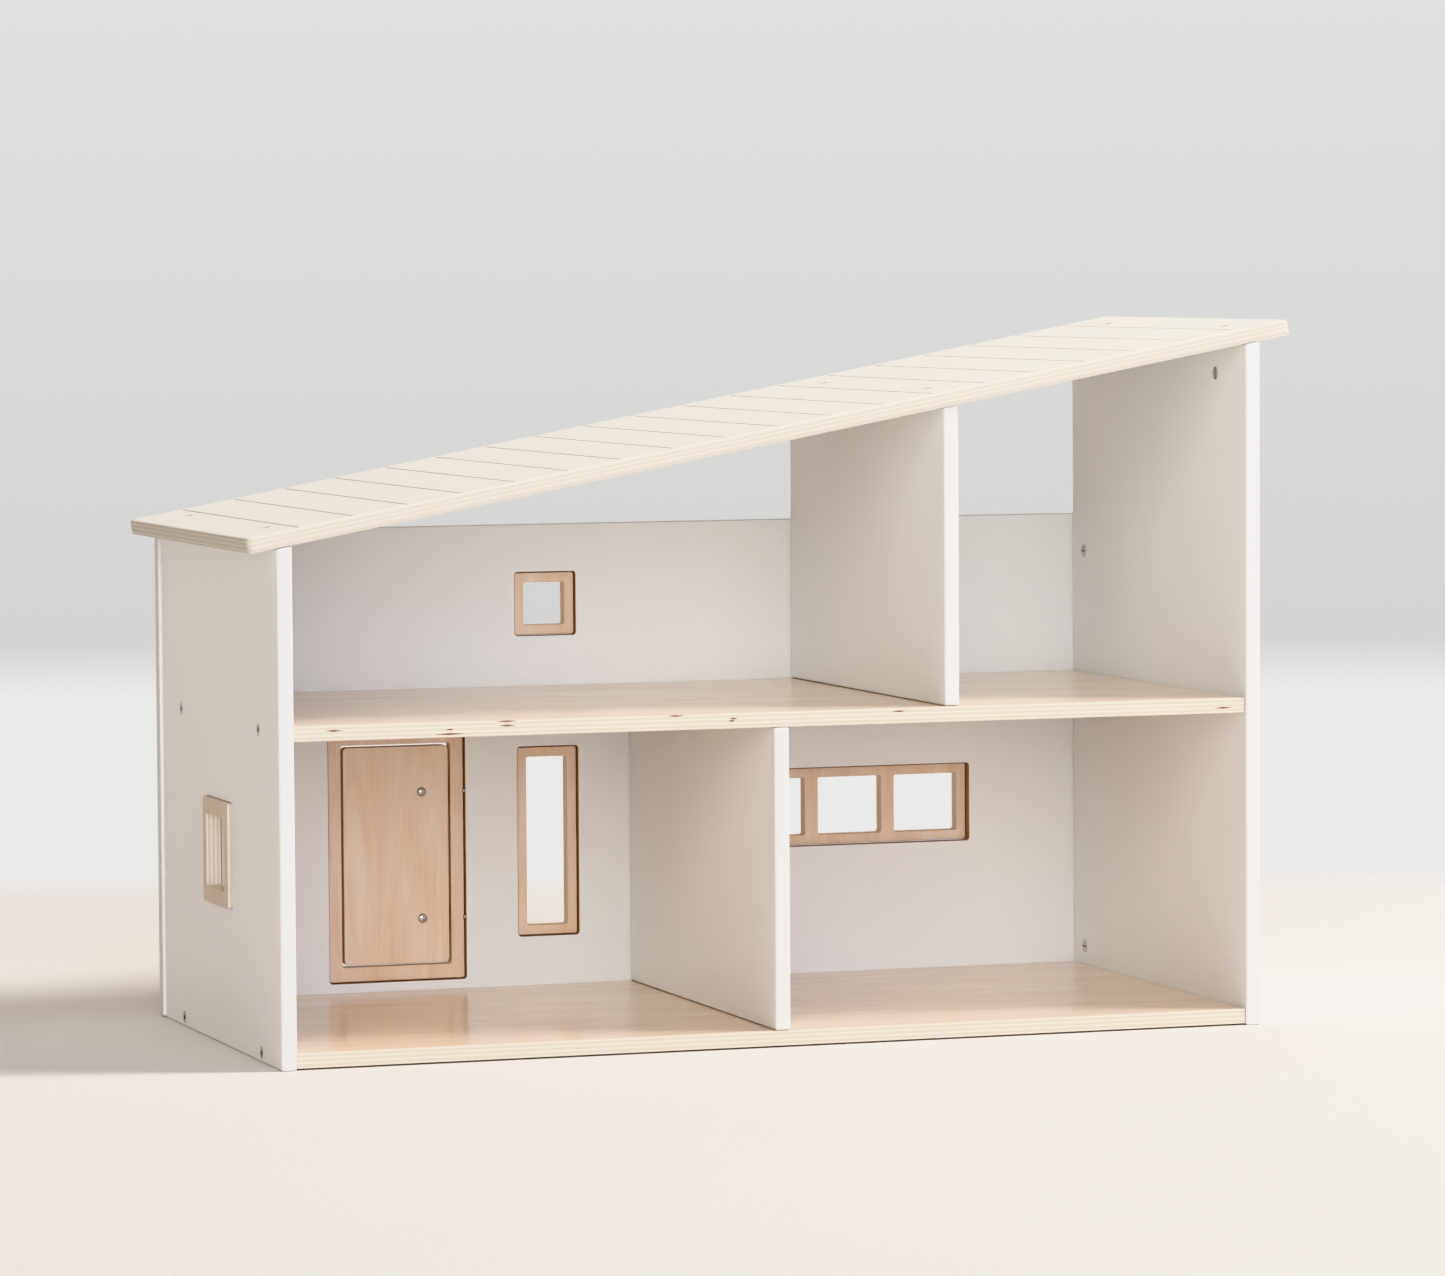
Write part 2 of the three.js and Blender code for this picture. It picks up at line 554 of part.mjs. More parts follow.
function addPanelScrews() {
  for (const [side, x, inward] of [['left', 0, 1], ['right', WIDTH, -1]]) {
    for (const [level, floorZ] of [['lower', FLOOR_Z], ['upper', UPPER_FLOOR_Z]]) {
      FASTENER_ROWS.forEach((y, row) => {
        const z = floorZ + SHEET / 2;
        const name = `${side}_${level}_floor_screw_${row + 1}`;
        addPiece(house, name, aimed(panelScrew(), [inward, 0, 0], x, y, z), steel(), [x, y, z]);
      });
    }
  }
}

// A barrel nut set into a board from faceX, for a bolt along Z (upright) or along Y.
function addBarrelNut(name, faceX, inward, y, z, uprightBolt) {
  const geometry = barrelNut(uprightBolt ? 0 : Math.PI / 2);
  aimed(geometry, [inward, 0, 0], faceX, y, z);
  addPiece(house, name, geometry, steel(), [faceX, y, z]);
}

function addRoofBolts() {
  for (const { name, x, faceX, inward } of ROOF_BOLT_BOARDS) {
    FASTENER_ROWS.forEach((y, row) => {
      const headZ = roofUnderside(x) + ROOF_BOLT_HEAD;
      const nutZ = roofUnderside(x) - NUT_DEPTH;
      const length = headZ - nutZ + BOLT_GRIP;
      addPiece(house, `${name}_roof_bolt_${row + 1}`, aimed(bolt(BOLT, length), [0, 0, -1], x, y, headZ),
        steel(), [x, y, headZ]);
      addBarrelNut(`${name}_roof_nut_${row + 1}`, faceX, inward, y, nutZ, true);
    });
  }
}

function addBackBolts() {
  const length = SHEET + NUT_DEPTH + BOLT_GRIP;
  for (const [side, x, faceX, inward] of [['left', SHEET / 2, SHEET, -1],
    ['right', WIDTH - SHEET / 2, WIDTH - SHEET, 1]]) {
    BACK_BOLT_HEIGHTS.forEach((z, row) => {
      addPiece(house, `${side}_back_bolt_${row + 1}`,
        aimed(bolt(BOLT, length), [0, -1, 0], x, BACK_FACE, z), steel(), [x, BACK_FACE, z]);
      addBarrelNut(`${side}_back_nut_${row + 1}`, faceX, inward, WALL_DEPTH - NUT_DEPTH, z, false);
    });
  }
}

function addDividerBolts() {
  const length = SHEET + NUT_DEPTH + BOLT_GRIP;
  for (const [name, x, floorZ] of [['lower_divider', LOWER_DIVIDER_X, FLOOR_Z],
    ['upper_divider', UPPER_DIVIDER_X, UPPER_FLOOR_Z]]) {
    FASTENER_ROWS.forEach((y, row) => {
      const head = bolt(BOLT, length).translate(x, y, floorZ);
      addPiece(house, `${name}_foot_bolt_${row + 1}`, head, steel(), [x, y, floorZ]);
      addBarrelNut(`${name}_foot_nut_${row + 1}`, x + SHEET / 2, -1, y, floorZ + SHEET + NUT_DEPTH, true);
    });
  }
}

function addDowels() {
  FASTENER_ROWS.forEach((y, row) => {
    const top = UPPER_FLOOR_Z + DOWEL.inFloor;
    const geometry = rod(DOWEL.radius, top - DOWEL.length, top).translate(LOWER_DIVIDER_X, y, 0);
    addPiece(house, `lower_divider_dowel_${row + 1}`, geometry, beech(), [LOWER_DIVIDER_X, y, top]);
  });
}

// ---------------------------------------------------------------- assembly

addLeftWall();
addRightWall();
addBackPanel();
addFloors();
addLowerDivider();
addUpperDivider();
addRoof();
addFrames();
addDoorPanel();
addHinges();
addPanelScrews();
addRoofBolts();
addBackBolts();
addDividerBolts();
addDowels();

// The origin is at the centre of the footprint, on the ground.
const bounds = new THREE.Box3().setFromObject(house, true);
const centre = bounds.getCenter(new THREE.Vector3());
house.position.set(-centre.x, -centre.y, -bounds.min.z);

export default house;
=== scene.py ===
"""Looks of the wooden dollhouse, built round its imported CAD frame.

Every board, frame, leaf and fastener is modelled again with rounded arrises, flared holes and
recessed heads, in the place that its CAD node gives, and takes a procedural finish. Lengths are in
metres.
"""

import json
import math
from functools import partial

import bmesh
import bpy
from mathutils import Matrix, Vector

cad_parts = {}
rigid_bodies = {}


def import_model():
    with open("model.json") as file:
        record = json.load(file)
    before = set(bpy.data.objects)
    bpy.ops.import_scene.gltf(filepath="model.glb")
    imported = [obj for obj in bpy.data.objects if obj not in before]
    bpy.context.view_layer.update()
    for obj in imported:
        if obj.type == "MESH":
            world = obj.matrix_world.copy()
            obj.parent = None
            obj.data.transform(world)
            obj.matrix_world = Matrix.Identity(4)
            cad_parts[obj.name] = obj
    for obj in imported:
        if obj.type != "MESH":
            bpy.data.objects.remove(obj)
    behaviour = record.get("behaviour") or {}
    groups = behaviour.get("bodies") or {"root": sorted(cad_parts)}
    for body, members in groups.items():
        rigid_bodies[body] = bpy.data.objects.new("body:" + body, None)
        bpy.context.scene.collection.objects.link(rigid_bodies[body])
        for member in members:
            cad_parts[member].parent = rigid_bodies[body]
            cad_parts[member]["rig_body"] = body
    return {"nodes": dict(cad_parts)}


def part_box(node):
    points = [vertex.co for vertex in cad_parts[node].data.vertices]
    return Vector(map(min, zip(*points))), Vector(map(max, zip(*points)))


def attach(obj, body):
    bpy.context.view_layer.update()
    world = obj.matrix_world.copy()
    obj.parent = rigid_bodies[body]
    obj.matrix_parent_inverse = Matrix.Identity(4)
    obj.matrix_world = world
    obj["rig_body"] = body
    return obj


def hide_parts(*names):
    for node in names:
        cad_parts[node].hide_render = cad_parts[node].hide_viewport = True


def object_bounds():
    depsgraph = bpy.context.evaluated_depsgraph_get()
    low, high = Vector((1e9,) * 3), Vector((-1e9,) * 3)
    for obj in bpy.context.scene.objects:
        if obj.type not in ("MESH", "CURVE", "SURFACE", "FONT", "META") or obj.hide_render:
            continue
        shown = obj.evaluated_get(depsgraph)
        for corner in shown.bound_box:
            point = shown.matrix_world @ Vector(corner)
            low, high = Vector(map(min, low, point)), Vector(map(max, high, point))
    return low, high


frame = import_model()
cad_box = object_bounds()

MM = 0.001
X, Y, Z = Vector((1, 0, 0)), Vector((0, 1, 0)), Vector((0, 0, 1))
OWN_PLACE, OWN_FACING = "own_place", "own_facing"    # a mesh's attributes, in its piece's own axes
INSIDE = "inside"                                    # 1 on the faces inside a board's own outline

# ---------------------------------------------------------------- sizes

CORE = 0.3 * MM              # radius of the flat spot that closes a turned solid's end
OVERCUT = 1 * MM             # a cutting solid starts this far outside the face that it opens
SHEET = 12 * MM              # plywood of every board
PLIES = 7
WALL_ARRIS = 1.5 * MM        # rounding of the painted boards' edges
FLOOR_ARRIS = 1.1 * MM
ROOF_ARRIS = 2.3 * MM
ROOF_CORNER = 4.5 * MM
FRAME_ARRIS = 0.8 * MM       # rounding of the frames' and the door's edges
FRAME_CORNER = 2 * MM
DOOR_CORNER = 4 * MM
RIM = 2.5 * MM               # a board's outer edge reaches this far in
HOLE_MOUTH = 0.35 * MM       # rounding where a hole meets a face
OPENING_MOUTH = 0.6 * MM
FRAME_FIT = 0.75 * MM        # gap between a frame and its opening
SIDE_FIT = 0.35 * MM         # the side window's frame fits more closely where it shows
HOLE_FIT = 0.15 * MM         # gap between a fastener and its hole

PLANKS = 20                  # marked out on the roof by grooves
GROOVE_WIDTH = 1.4 * MM
GROOVE_DEPTH = 1.2 * MM
GROOVE_MARGIN = 7 * MM       # plain edge left at the front and back of each groove
GROOVE_END = 0.49            # rounding of a groove's ends, as a share of its width
GROOVE_MOUTH = 0.2 * MM
PIT = {"radius": 1.6 * MM, "depth": 2.2 * MM}    # where the cutter went in, at a groove's two ends
POCKET_REACH = 4 * MM        # a roof bolt's pocket is cut this far up from its head

SQUARE_PANES = {"stile": 8 * MM, "rail": 8 * MM}
WIDE_PANES = {"stile": 8 * MM, "rail": 8 * MM, "panes": 3, "mullion": 11.5 * MM}
DOOR_OPENING = {"stile": 11 * MM, "rail": 12 * MM}
SIDE_PANES = {"stile": 11 * MM, "rail": 12.5 * MM}

PANEL_SCREW = {"head": 4.8 * MM, "rim": 0.4 * MM, "depth": 3 * MM, "neck": 3.3 * MM,
               "shank": 2.4 * MM, "step": 0.5 * MM, "point": 3 * MM}
BOLT = {"head": 5 * MM, "depth": 2.8 * MM, "shank": 3 * MM}
DOOR_BOLT = {"head": 3.75 * MM, "depth": 2.2 * MM, "shank": 2 * MM}
BOLT_SEAT = 0.45 * MM        # a shallow seat round a door bolt's head
HINGE_SCREW = {"head": 3 * MM, "depth": 1.7 * MM, "shank": 1.5 * MM}
DOME = 0.62                  # rise of a domed head, as a share of its depth
TIP = {"length": 0.6 * MM, "inset": 0.5 * MM}    # chamfer at a shank's end
SCREW_SOCKET = {"width": 4 * MM, "depth": 2.2 * MM}
BOLT_SOCKET = {"width": 4 * MM, "depth": 2 * MM}
SOCKET_MOUTH = 0.2 * MM
DOOR_BOLT_CROSS = {"width": 4.2 * MM, "depth": 1.7 * MM}
HINGE_SCREW_CROSS = {"width": 3.2 * MM, "depth": 1.3 * MM}
SCREW_ARRIS, BOLT_ARRIS, PAN_ARRIS = 0.25 * MM, 0.4 * MM, 0.2 * MM
NUT_RADIUS = 5 * MM
NUT_SLOT = {"width": 1.6 * MM, "depth": 1.5 * MM}
DOWEL_RADIUS = 3 * MM
DOWEL_TIP = {"length": 1 * MM, "inset": 0.8 * MM}
DOWEL_ARRIS = 0.2 * MM
ROUND_STEPS = 40             # sides of a turned piece
SOFT_BEND = 0.3              # a turned profile's flatter bends keep their corner (radians)
BEVELLED = math.radians(40)  # a board's edges sharper than this are rounded
CREASED = math.radians(32)   # and a piece's edges sharper than this are shaded as edges

LEAF = 1.2 * MM              # hinge plate
LEAF_ARRIS = 0.2 * MM
LEAF_CORNER = 2.5 * MM
KNUCKLE = 2.6 * MM
KNUCKLE_ARRIS = 0.3 * MM
KNUCKLE_PLAY = 0.3 * MM      # between one knuckle and the next, and round the pin
KNUCKLE_ROOM = 0.6 * MM      # round a knuckle, in the leaf that it doesn't belong to
KNUCKLE_REACH = 5 * MM       # a frame leaf is cut away this far behind the pin
PIN = 1.2 * MM
PIN_ARRIS = 0.4 * MM
BOSS = {"radius": 3.6 * MM, "depth": 3 * MM}
STRAP_END = 6 * MM           # half the width of a strap's narrow end
STRAP_SHOULDER = 2 * MM      # the strap stays wide this far from its knuckles
THREAD_REACH = 10 * MM       # a door bolt's hole through its strap and boss
SCREW_REACH = 6 * MM         # a hinge screw's hole through its frame leaf

# ---------------------------------------------------------------- meshes


def loft(bm, rings):
    """Skins a closed solid through rings of points, each ring with the same number of points."""
    rows = [[bm.verts.new(point) for point in ring] for ring in rings]
    for low, high in zip(rows, rows[1:]):
        for i in range(len(low)):
            j = (i + 1) % len(low)
            bm.faces.new((low[i], low[j], high[j], high[i]))
    bm.faces.new(list(reversed(rows[0])))
    bm.faces.new(rows[-1])


def rounded(a, b, half_a, half_b, radius, steps=6):
    """Outline of a rounded rectangle, as a function of how far it is offset outwards."""

    def outline(offset=0.0):
        r = radius + offset
        points = []
        for quarter, (sa, sb) in enumerate([(1, 1), (-1, 1), (-1, -1), (1, -1)]):
            for step in range(steps + 1):
                angle = math.radians(90 * quarter + 90 * step / steps)
                points.append((
                    a + sa * (half_a - radius) + r * math.cos(angle),
                    b + sb * (half_b - radius) + r * math.sin(angle),
                ))
        return points

    return outline


def round_hole(a, b, radius):
    """Outline of a circle, as a function of how far it is offset outwards."""

    def outline(offset=0.0):
        r = radius + offset
        turn = [2 * math.pi * i / ROUND_STEPS for i in range(ROUND_STEPS)]
        return [(a + r * math.cos(t), b + r * math.sin(t)) for t in turn]

    return outline


def flare(mouth, steps=4):
    """(depth, offset) stations of a quarter-round mouth, starting just outside the face."""
    angles = [math.pi / 2 * i / steps for i in range(steps + 1)]
    inside = [(mouth * (1 - math.cos(t)), mouth * (1 - math.sin(t))) for t in angles]
    return [(-OVERCUT, mouth), *inside]


def cutter(bm, outline, low, high, mouth_low=0.0, mouth_high=0.0, place=Matrix()):
    """Adds a solid that cuts an outline from depth low to depth high, with rounded mouths."""
    stations = [(low + d, o) for d, o in flare(mouth_low)] if mouth_low else [(low, 0.0)]
    if mouth_high:
        stations += [(high - d, o) for d, o in reversed(flare(mouth_high))]
    else:
        stations.append((high, 0.0))
    loft(bm, [[place @ Vector((a, b, depth)) for a, b in outline(offset)]
              for depth, offset in stations])


def turned(bm, profile, place=Matrix(), steps=ROUND_STEPS):
    """Adds a turned solid. The profile is a list of (radius, height) with no point on the axis."""
    turn = [2 * math.pi * i / steps for i in range(steps)]
    loft(bm, [[place @ Vector((radius * math.cos(t), radius * math.sin(t), height)) for t in turn]
              for radius, height in profile])


def rod(radius, low, high):
    """Profile of a plain round rod whose two ends have a rim."""
    return [(CORE, low), (radius, low), (radius, high), (CORE, high)]


def bore(radius, low, high):
    """Profile of a straight round hole."""
    return [(radius, low), (radius, high)]


def slab(outline, thickness, arris, shear=0.0, segments=4):
    """A board with every sharp edge rounded. Its far end in Y is sheared by the given slope."""
    bm = bmesh.new()
    loft(bm, [[Vector((a, b, c)) for a, b in outline] for c in (0.0, thickness)])
    far = max(v.co.y for v in bm.verts)
    for v in bm.verts:
        if v.co.y > far - 1e-6:
            v.co.y -= (thickness - v.co.z) * shear
    bm.normal_update()
    sharp = [e for e in bm.edges if e.calc_face_angle(0.0) > BEVELLED]
    bmesh.ops.bevel(bm, geom=sharp, offset=arris, segments=segments, profile=0.5, affect="EDGES")
    return bm


def rectangle(width, height):
    return [(0, 0), (width, 0), (width, height), (0, height)]


def corners(half_a, half_b):
    """Corners of a rectangle about the origin."""
    return [(half_a, half_b), (-half_a, half_b), (-half_a, -half_b), (half_a, -half_b)]


def axes(origin, along, across):
    """Placement whose X runs along the face grain, Y across it and Z through the thickness."""
    through = along.cross(across)
    return Matrix.Translation(origin) @ Matrix((along, across, through)).transposed().to_4x4()


def mesh_object(name, bm, place=Matrix()):
    bmesh.ops.recalc_face_normals(bm, faces=bm.faces)
    mesh = bpy.data.meshes.new(name)
    bm.to_mesh(mesh)
    bm.free()
    piece = bpy.data.objects.new(name, mesh)
    bpy.context.scene.collection.objects.link(piece)
    piece.matrix_world = place
    return piece


def islands(bm):
    """Centres of the separate solids in a mesh."""
    seen, centres = set(), []
    for start in bm.verts:
        if start in seen:
            continue
        seen.add(start)
        group, edge = [start], [start]
        while edge:
            edge = list({w for v in edge for e in v.link_edges for w in e.verts if w not in seen})
            seen.update(edge)
            group += edge
        low = Vector([min(v.co[k] for v in group) for k in range(3)])
        high = Vector([max(v.co[k] for v in group) for k in range(3)])
        centres.append((low + high) / 2)
    return centres


def rule_lines(piece, centres):
    """Divides a piece's flat faces along lines through the centres, so none has a hole in it."""
    inverse = piece.matrix_world.inverted()
    own = [inverse @ centre for centre in centres]
    bm = bmesh.new()
    bm.from_mesh(piece.data)
    for axis, normal in enumerate((X, Y)):
        for level in sorted({round(centre[axis], 6) for centre in own}):
            bmesh.ops.bisect_plane(bm, geom=[*bm.verts, *bm.edges, *bm.faces], dist=1e-7,
                                   plane_co=normal * level, plane_no=normal)
    bm.to_mesh(piece.data)
    bm.free()


def boolean(piece, bm, operation):
    """Cuts a solid out of a piece or joins it on, and keeps the result as the piece's own mesh."""
    rule_lines(piece, islands(bm))
    tool = mesh_object("tool", bm)
    change = piece.modifiers.new("change", "BOOLEAN")
    change.operation = operation
    change.solver = "MANIFOLD"
    change.object = tool
    bpy.context.view_layer.update()
    graph = bpy.context.evaluated_depsgraph_get()
    made = bpy.data.meshes.new_from_object(piece.evaluated_get(graph))
    piece.modifiers.remove(change)
    old = piece.data
    piece.data = made
    bpy.data.meshes.remove(old)
    bpy.data.objects.remove(tool)


def smooth(piece, material):
    """Clean mesh with smooth shading and its finish."""
    bm = bmesh.new()
    bm.from_mesh(piece.data)
    bmesh.ops.remove_doubles(bm, verts=bm.verts, dist=2e-6)
    bmesh.ops.dissolve_degenerate(bm, edges=bm.edges, dist=1e-6)
    bm.to_mesh(piece.data)
    bm.free()
    piece.data.shade_smooth()
    piece.data.set_sharp_from_angle(angle=CREASED)
    piece.data.materials.clear()
    piece.data.materials.append(material)


def settle(piece, node):
    """Fixes a piece's mesh in the shared frame, and has it stand for its node.

    The piece's own coordinates and facing stay with the mesh, for the finishes to read.
    """
    mesh = piece.data
    own = mesh.attributes.new(OWN_PLACE, "FLOAT_VECTOR", "POINT")
    own.data.foreach_set("vector", [c for v in mesh.vertices for c in v.co])
    facing = mesh.attributes.new(OWN_FACING, "FLOAT_VECTOR", "CORNER")
    facing.data.foreach_set("vector", [c for n in mesh.corner_normals for c in n.vector])
    rim = [(min(c), max(c)) for c in zip(*(v.co[:2] for v in mesh.vertices))]
    inside = mesh.attributes.new(INSIDE, "FLOAT", "FACE")
    for polygon, mark in zip(mesh.polygons, inside.data):
        mark.value = all(low + RIM < c < high - RIM for c, (low, high) in zip(polygon.center, rim))
    mesh.transform(piece.matrix_world)
    mesh.name = piece.name
    piece.matrix_world = Matrix()
    normals = piece.modifiers.new("face_weighted_normals", "WEIGHTED_NORMAL")
    normals.keep_sharp = True
    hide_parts(node)
    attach(piece, frame["nodes"][node]["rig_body"])


def finish_piece(piece, node, material):
    smooth(piece, material)
    settle(piece, node)


# ---------------------------------------------------------------- finishes


class Shader:
    """One material, with short names for the nodes that it is built of."""

    def __init__(self, name):
        self.material = bpy.data.materials.new(name)
        self.material.use_nodes = True
        self.tree = self.material.node_tree
        self.tree.nodes.clear()
        self.surface = self.add("ShaderNodeBsdfPrincipled")
        output = self.add("ShaderNodeOutputMaterial")
        self.tree.links.new(self.surface.outputs[0], output.inputs["Surface"])
        self.place = self.add("ShaderNodeAttribute", attribute_name=OWN_PLACE).outputs["Vector"]
        self.facing = self.add("ShaderNodeAttribute", attribute_name=OWN_FACING).outputs["Vector"]
        self.inside = self.add("ShaderNodeAttribute", attribute_name=INSIDE).outputs["Fac"]

    def add(self, kind, inputs=None, **settings):
        node = self.tree.nodes.new(kind)
        for key, value in settings.items():
            setattr(node, key, value)
        for key, value in (inputs or {}).items():
            self.feed(node.inputs[key], value)
        return node

    def feed(self, socket, value):
        if isinstance(value, bpy.types.NodeSocket):
            self.tree.links.new(value, socket)
        else:
            socket.default_value = value

    def math(self, operation, *values, clamp=False):
        inputs = dict(enumerate(values))
        return self.add("ShaderNodeMath", inputs, operation=operation, use_clamp=clamp).outputs[0]

    def total(self, *terms):
        """Sum of weight times value over (weight, value) pairs."""
        result = 0.0
        for weight, value in terms:
            result = self.math("MULTIPLY_ADD", value, weight, result)
        return result

    def step(self, value, low, high):
        """0 below low, 1 above high, smooth in between."""
        inputs = {"Value": value, "From Min": low, "From Max": high}
        return self.add("ShaderNodeMapRange", inputs, interpolation_type="SMOOTHSTEP").outputs[0]

    def mix(self, share, first, second):
        inputs = {0: share, 6: first, 7: second}
        return self.add("ShaderNodeMix", inputs, data_type="RGBA").outputs[2]

    def stretched(self, x, y, z):
        """The piece's own coordinates, scaled to x, y and z cells a metre."""
        inputs = {"Vector": self.place, "Scale": (x, y, z)}
        return self.add("ShaderNodeMapping", inputs).outputs[0]

    def noise(self, vector, detail=2.0, roughness=0.5, distortion=0.0):
        inputs = {"Vector": vector, "Scale": 1.0, "Detail": detail, "Roughness": roughness,
                  "Distortion": distortion}
        return self.add("ShaderNodeTexNoise", inputs).outputs[0]

    def split(self, vector):
        node = self.add("ShaderNodeSeparateXYZ", {0: vector})
        return node.outputs[0], node.outputs[1], node.outputs[2]

    def bump(self, height, distance):
        inputs = {"Height": height, "Strength": 1.0, "Distance": distance}
        self.feed(self.surface.inputs["Normal"], self.add("ShaderNodeBump", inputs).outputs[0])

    def shine(self, roughness, specular=0.5, metallic=0.0):
        """Roughness from nodes, and the values that are the same all over, on their own sockets."""
        self.feed(self.surface.inputs["Roughness"], roughness)
        self.surface.inputs["Specular IOR Level"].default_value = specular
        self.surface.inputs["Metallic"].default_value = metallic


def tone(r, g, b):
    """A colour given in sRGB, 0 to 255, as the linear one that a shader takes."""
    def linear(c):
        c /= 255
        return c / 12.92 if c <= 0.04045 else ((c + 0.055) / 1.055) ** 2.4
    return (linear(r), linear(g), linear(b), 1.0)


def ply_edge(s):
    """Where and how a surface cuts through the plies: (face share, end grain, ply line)."""
    normal_x, normal_y, normal_z = s.split(s.facing)
    face = s.step(s.math("ABSOLUTE", normal_z), 0.55, 0.9)
    _, _, depth = s.split(s.place)
    ply = s.math("MULTIPLY", depth, PLIES / SHEET)
    crossed = s.math("MODULO", s.math("FLOOR", s.math("MAXIMUM", ply, 0.0)), 2.0)
    across = s.math("GREATER_THAN", s.math("ABSOLUTE", normal_x), s.math("ABSOLUTE", normal_y))
    end_grain = s.math("ABSOLUTE", s.math("SUBTRACT", crossed, across))
    middle = s.math("ABSOLUTE", s.math("SUBTRACT", s.math("FRACT", ply), 0.5))
    return face, end_grain, s.step(middle, 0.36, 0.5)


# greyer tone on every edge of a painted board: painted shade
EDGE_SHADE_TONE = tone(208, 207, 204)
BARE_LONG, BARE_END = tone(196, 158, 122), tone(158, 116, 82)    # unpainted plies in an opening
VOID_TONE = tone(128, 78, 54)
# brown on a frame's or door's outer edge: painted shade of the gap round it
GAP_SHADE_TONE = tone(120, 74, 48)
# darker brown on faces sunk below a board's surface: painted shade in its grooves, pits and pockets
GROOVE_SHADE_TONE = tone(176, 144, 110)
GROOVE_SHADE_DEPTHS = (0.4 * MM, 0.8 * MM)    # below a face, the veneer turns darker brown between these depths: painted shade in grooves, pits and pockets
PLY_RELIEF, PAINT_RELIEF, BRUSHED_RELIEF = 0.05 * MM, 0.03 * MM, 0.006 * MM
VOID_CELLS = 22.0                # places for a knot or gap, a metre


def voids(s, share):
    """Small dark knots and gaps in the plies of a front edge, in a share of its 45 mm lengths."""
    x, _, depth = s.split(s.place)
    normal_x, normal_y, _ = s.split(s.facing)
    front = s.math("GREATER_THAN", s.math("ABSOLUTE", normal_y), s.math("ABSOLUTE", normal_x))
    along = s.math("MULTIPLY", x, VOID_CELLS)
    level = s.math("MULTIPLY", depth, PLIES / SHEET)
    cell = s.add("ShaderNodeCombineXYZ", {0: s.math("FLOOR", along), 1: s.math("FLOOR", level)})
    chance = s.add("ShaderNodeTexWhiteNoise", {"Vector": cell.outputs[0]}, noise_dimensions="3D")
    there = s.math("MULTIPLY", front, s.math("GREATER_THAN", chance.outputs[0], 1.0 - share))
    where, reach, _ = s.split(chance.outputs[1])
    shift = s.math("MULTIPLY_ADD", where, 0.4, 0.3)
    length = s.math("MULTIPLY_ADD", s.math("POWER", reach, 2.0), 0.32, 0.07)
    away = s.math("ABSOLUTE", s.math("SUBTRACT", s.math("FRACT", along), shift))
    near = s.math("SUBTRACT", 1.0, s.math("DIVIDE", away, length), clamp=True)
    height = s.math("ABSOLUTE", s.math("SUBTRACT", s.math("FRACT", level), 0.5))
    body = s.step(s.math("SUBTRACT", s.math("MULTIPLY", near, 0.5), height), 0.0, 0.12)
    return s.math("MULTIPLY", there, body)


def plywood(name, light, dark, edge_long, edge_end, roughness=0.42, knots=0.0, figure=1.0,
            specular=0.5, gap_shade=0.0, lines=0.22, bands=0.8):
    """Birch plywood: rotary-cut face veneer with a fine grain, and a laminated edge.

    On the edge, bands is how far end grain differs from long grain, and lines how much the glue
    lines darken it. The outer edge stands in the gap round a frame or door. A share of its own
    darkens it brown: painted shade of that gap.
    """
    s = Shader(name)
    face, end_grain, ply_line = ply_edge(s)
    broad = s.noise(s.stretched(5, 30, 3), detail=4.0, roughness=0.6, distortion=0.8)
    contour = s.noise(s.stretched(1.6, 7, 3), detail=1.0)
    waves = s.math("SINE", s.math("MULTIPLY", contour, 85.0))
    fine = s.noise(s.stretched(22, 850, 400), detail=3.0, roughness=0.6)
    flecks = s.step(s.noise(s.stretched(170, 2400, 900), detail=1.0), 0.66, 0.76)
    grain = s.total((1.2 * figure, s.math("SUBTRACT", broad, 0.5)), (0.05 * figure, waves),
                    (0.8, s.math("SUBTRACT", fine, 0.5)), (0.3, flecks))
    veneer = s.mix(s.math("ADD", grain, 0.4, clamp=True), light, dark)
    streaks = s.noise(s.stretched(40, 40, 1600), detail=3.0, roughness=0.6)
    pores = s.noise(s.stretched(1500, 1500, 1500), detail=2.0)
    end_tone = s.math("MULTIPLY_ADD", s.math("SUBTRACT", pores, 0.5), 0.5, end_grain)
    edge_tone = s.total((bands, end_tone), (0.7, s.math("SUBTRACT", streaks, 0.5)),
                        (lines, ply_line))
    edge = s.mix(s.math("MAXIMUM", edge_tone, 0.0, clamp=True), edge_long, edge_end)
    gaps = voids(s, knots)
    edge = s.mix(gaps, edge, VOID_TONE)
    outer = s.math("SUBTRACT", 1.0, s.inside)
    # the outer edge darkened brown: painted shade of the gap round a frame or door
    edge = s.mix(s.math("MULTIPLY", outer, gap_shade), edge, GAP_SHADE_TONE)
    # faces sunk below the surface turn darker brown: painted shade in grooves, pits and pockets
    height = s.math("ABSOLUTE", s.math("SUBTRACT", s.split(s.place)[2], SHEET / 2))
    groove_shade = s.math("SUBTRACT", 1.0, s.step(height, SHEET / 2 - GROOVE_SHADE_DEPTHS[1], SHEET / 2 - GROOVE_SHADE_DEPTHS[0]))
    veneer = s.mix(s.math("MULTIPLY", groove_shade, 0.6), veneer, GROOVE_SHADE_TONE)
    s.feed(s.surface.inputs["Base Color"], s.mix(face, edge, veneer))
    s.shine(s.total((0.16, s.math("SUBTRACT", fine, 0.5)), (0.12, s.math("SUBTRACT", 1.0, face)),
                    (1.0, roughness)), specular)
    relief = s.total((0.25, fine), (-0.4, flecks))
    cut = s.total((0.5, streaks), (-0.5, end_grain), (-0.6, ply_line), (-3.0, gaps))
    height = s.math("ADD", s.math("MULTIPLY", relief, face),
                    s.math("MULTIPLY", cut, s.math("SUBTRACT", 1.0, face)))
    s.bump(height, PLY_RELIEF)
    return s.material


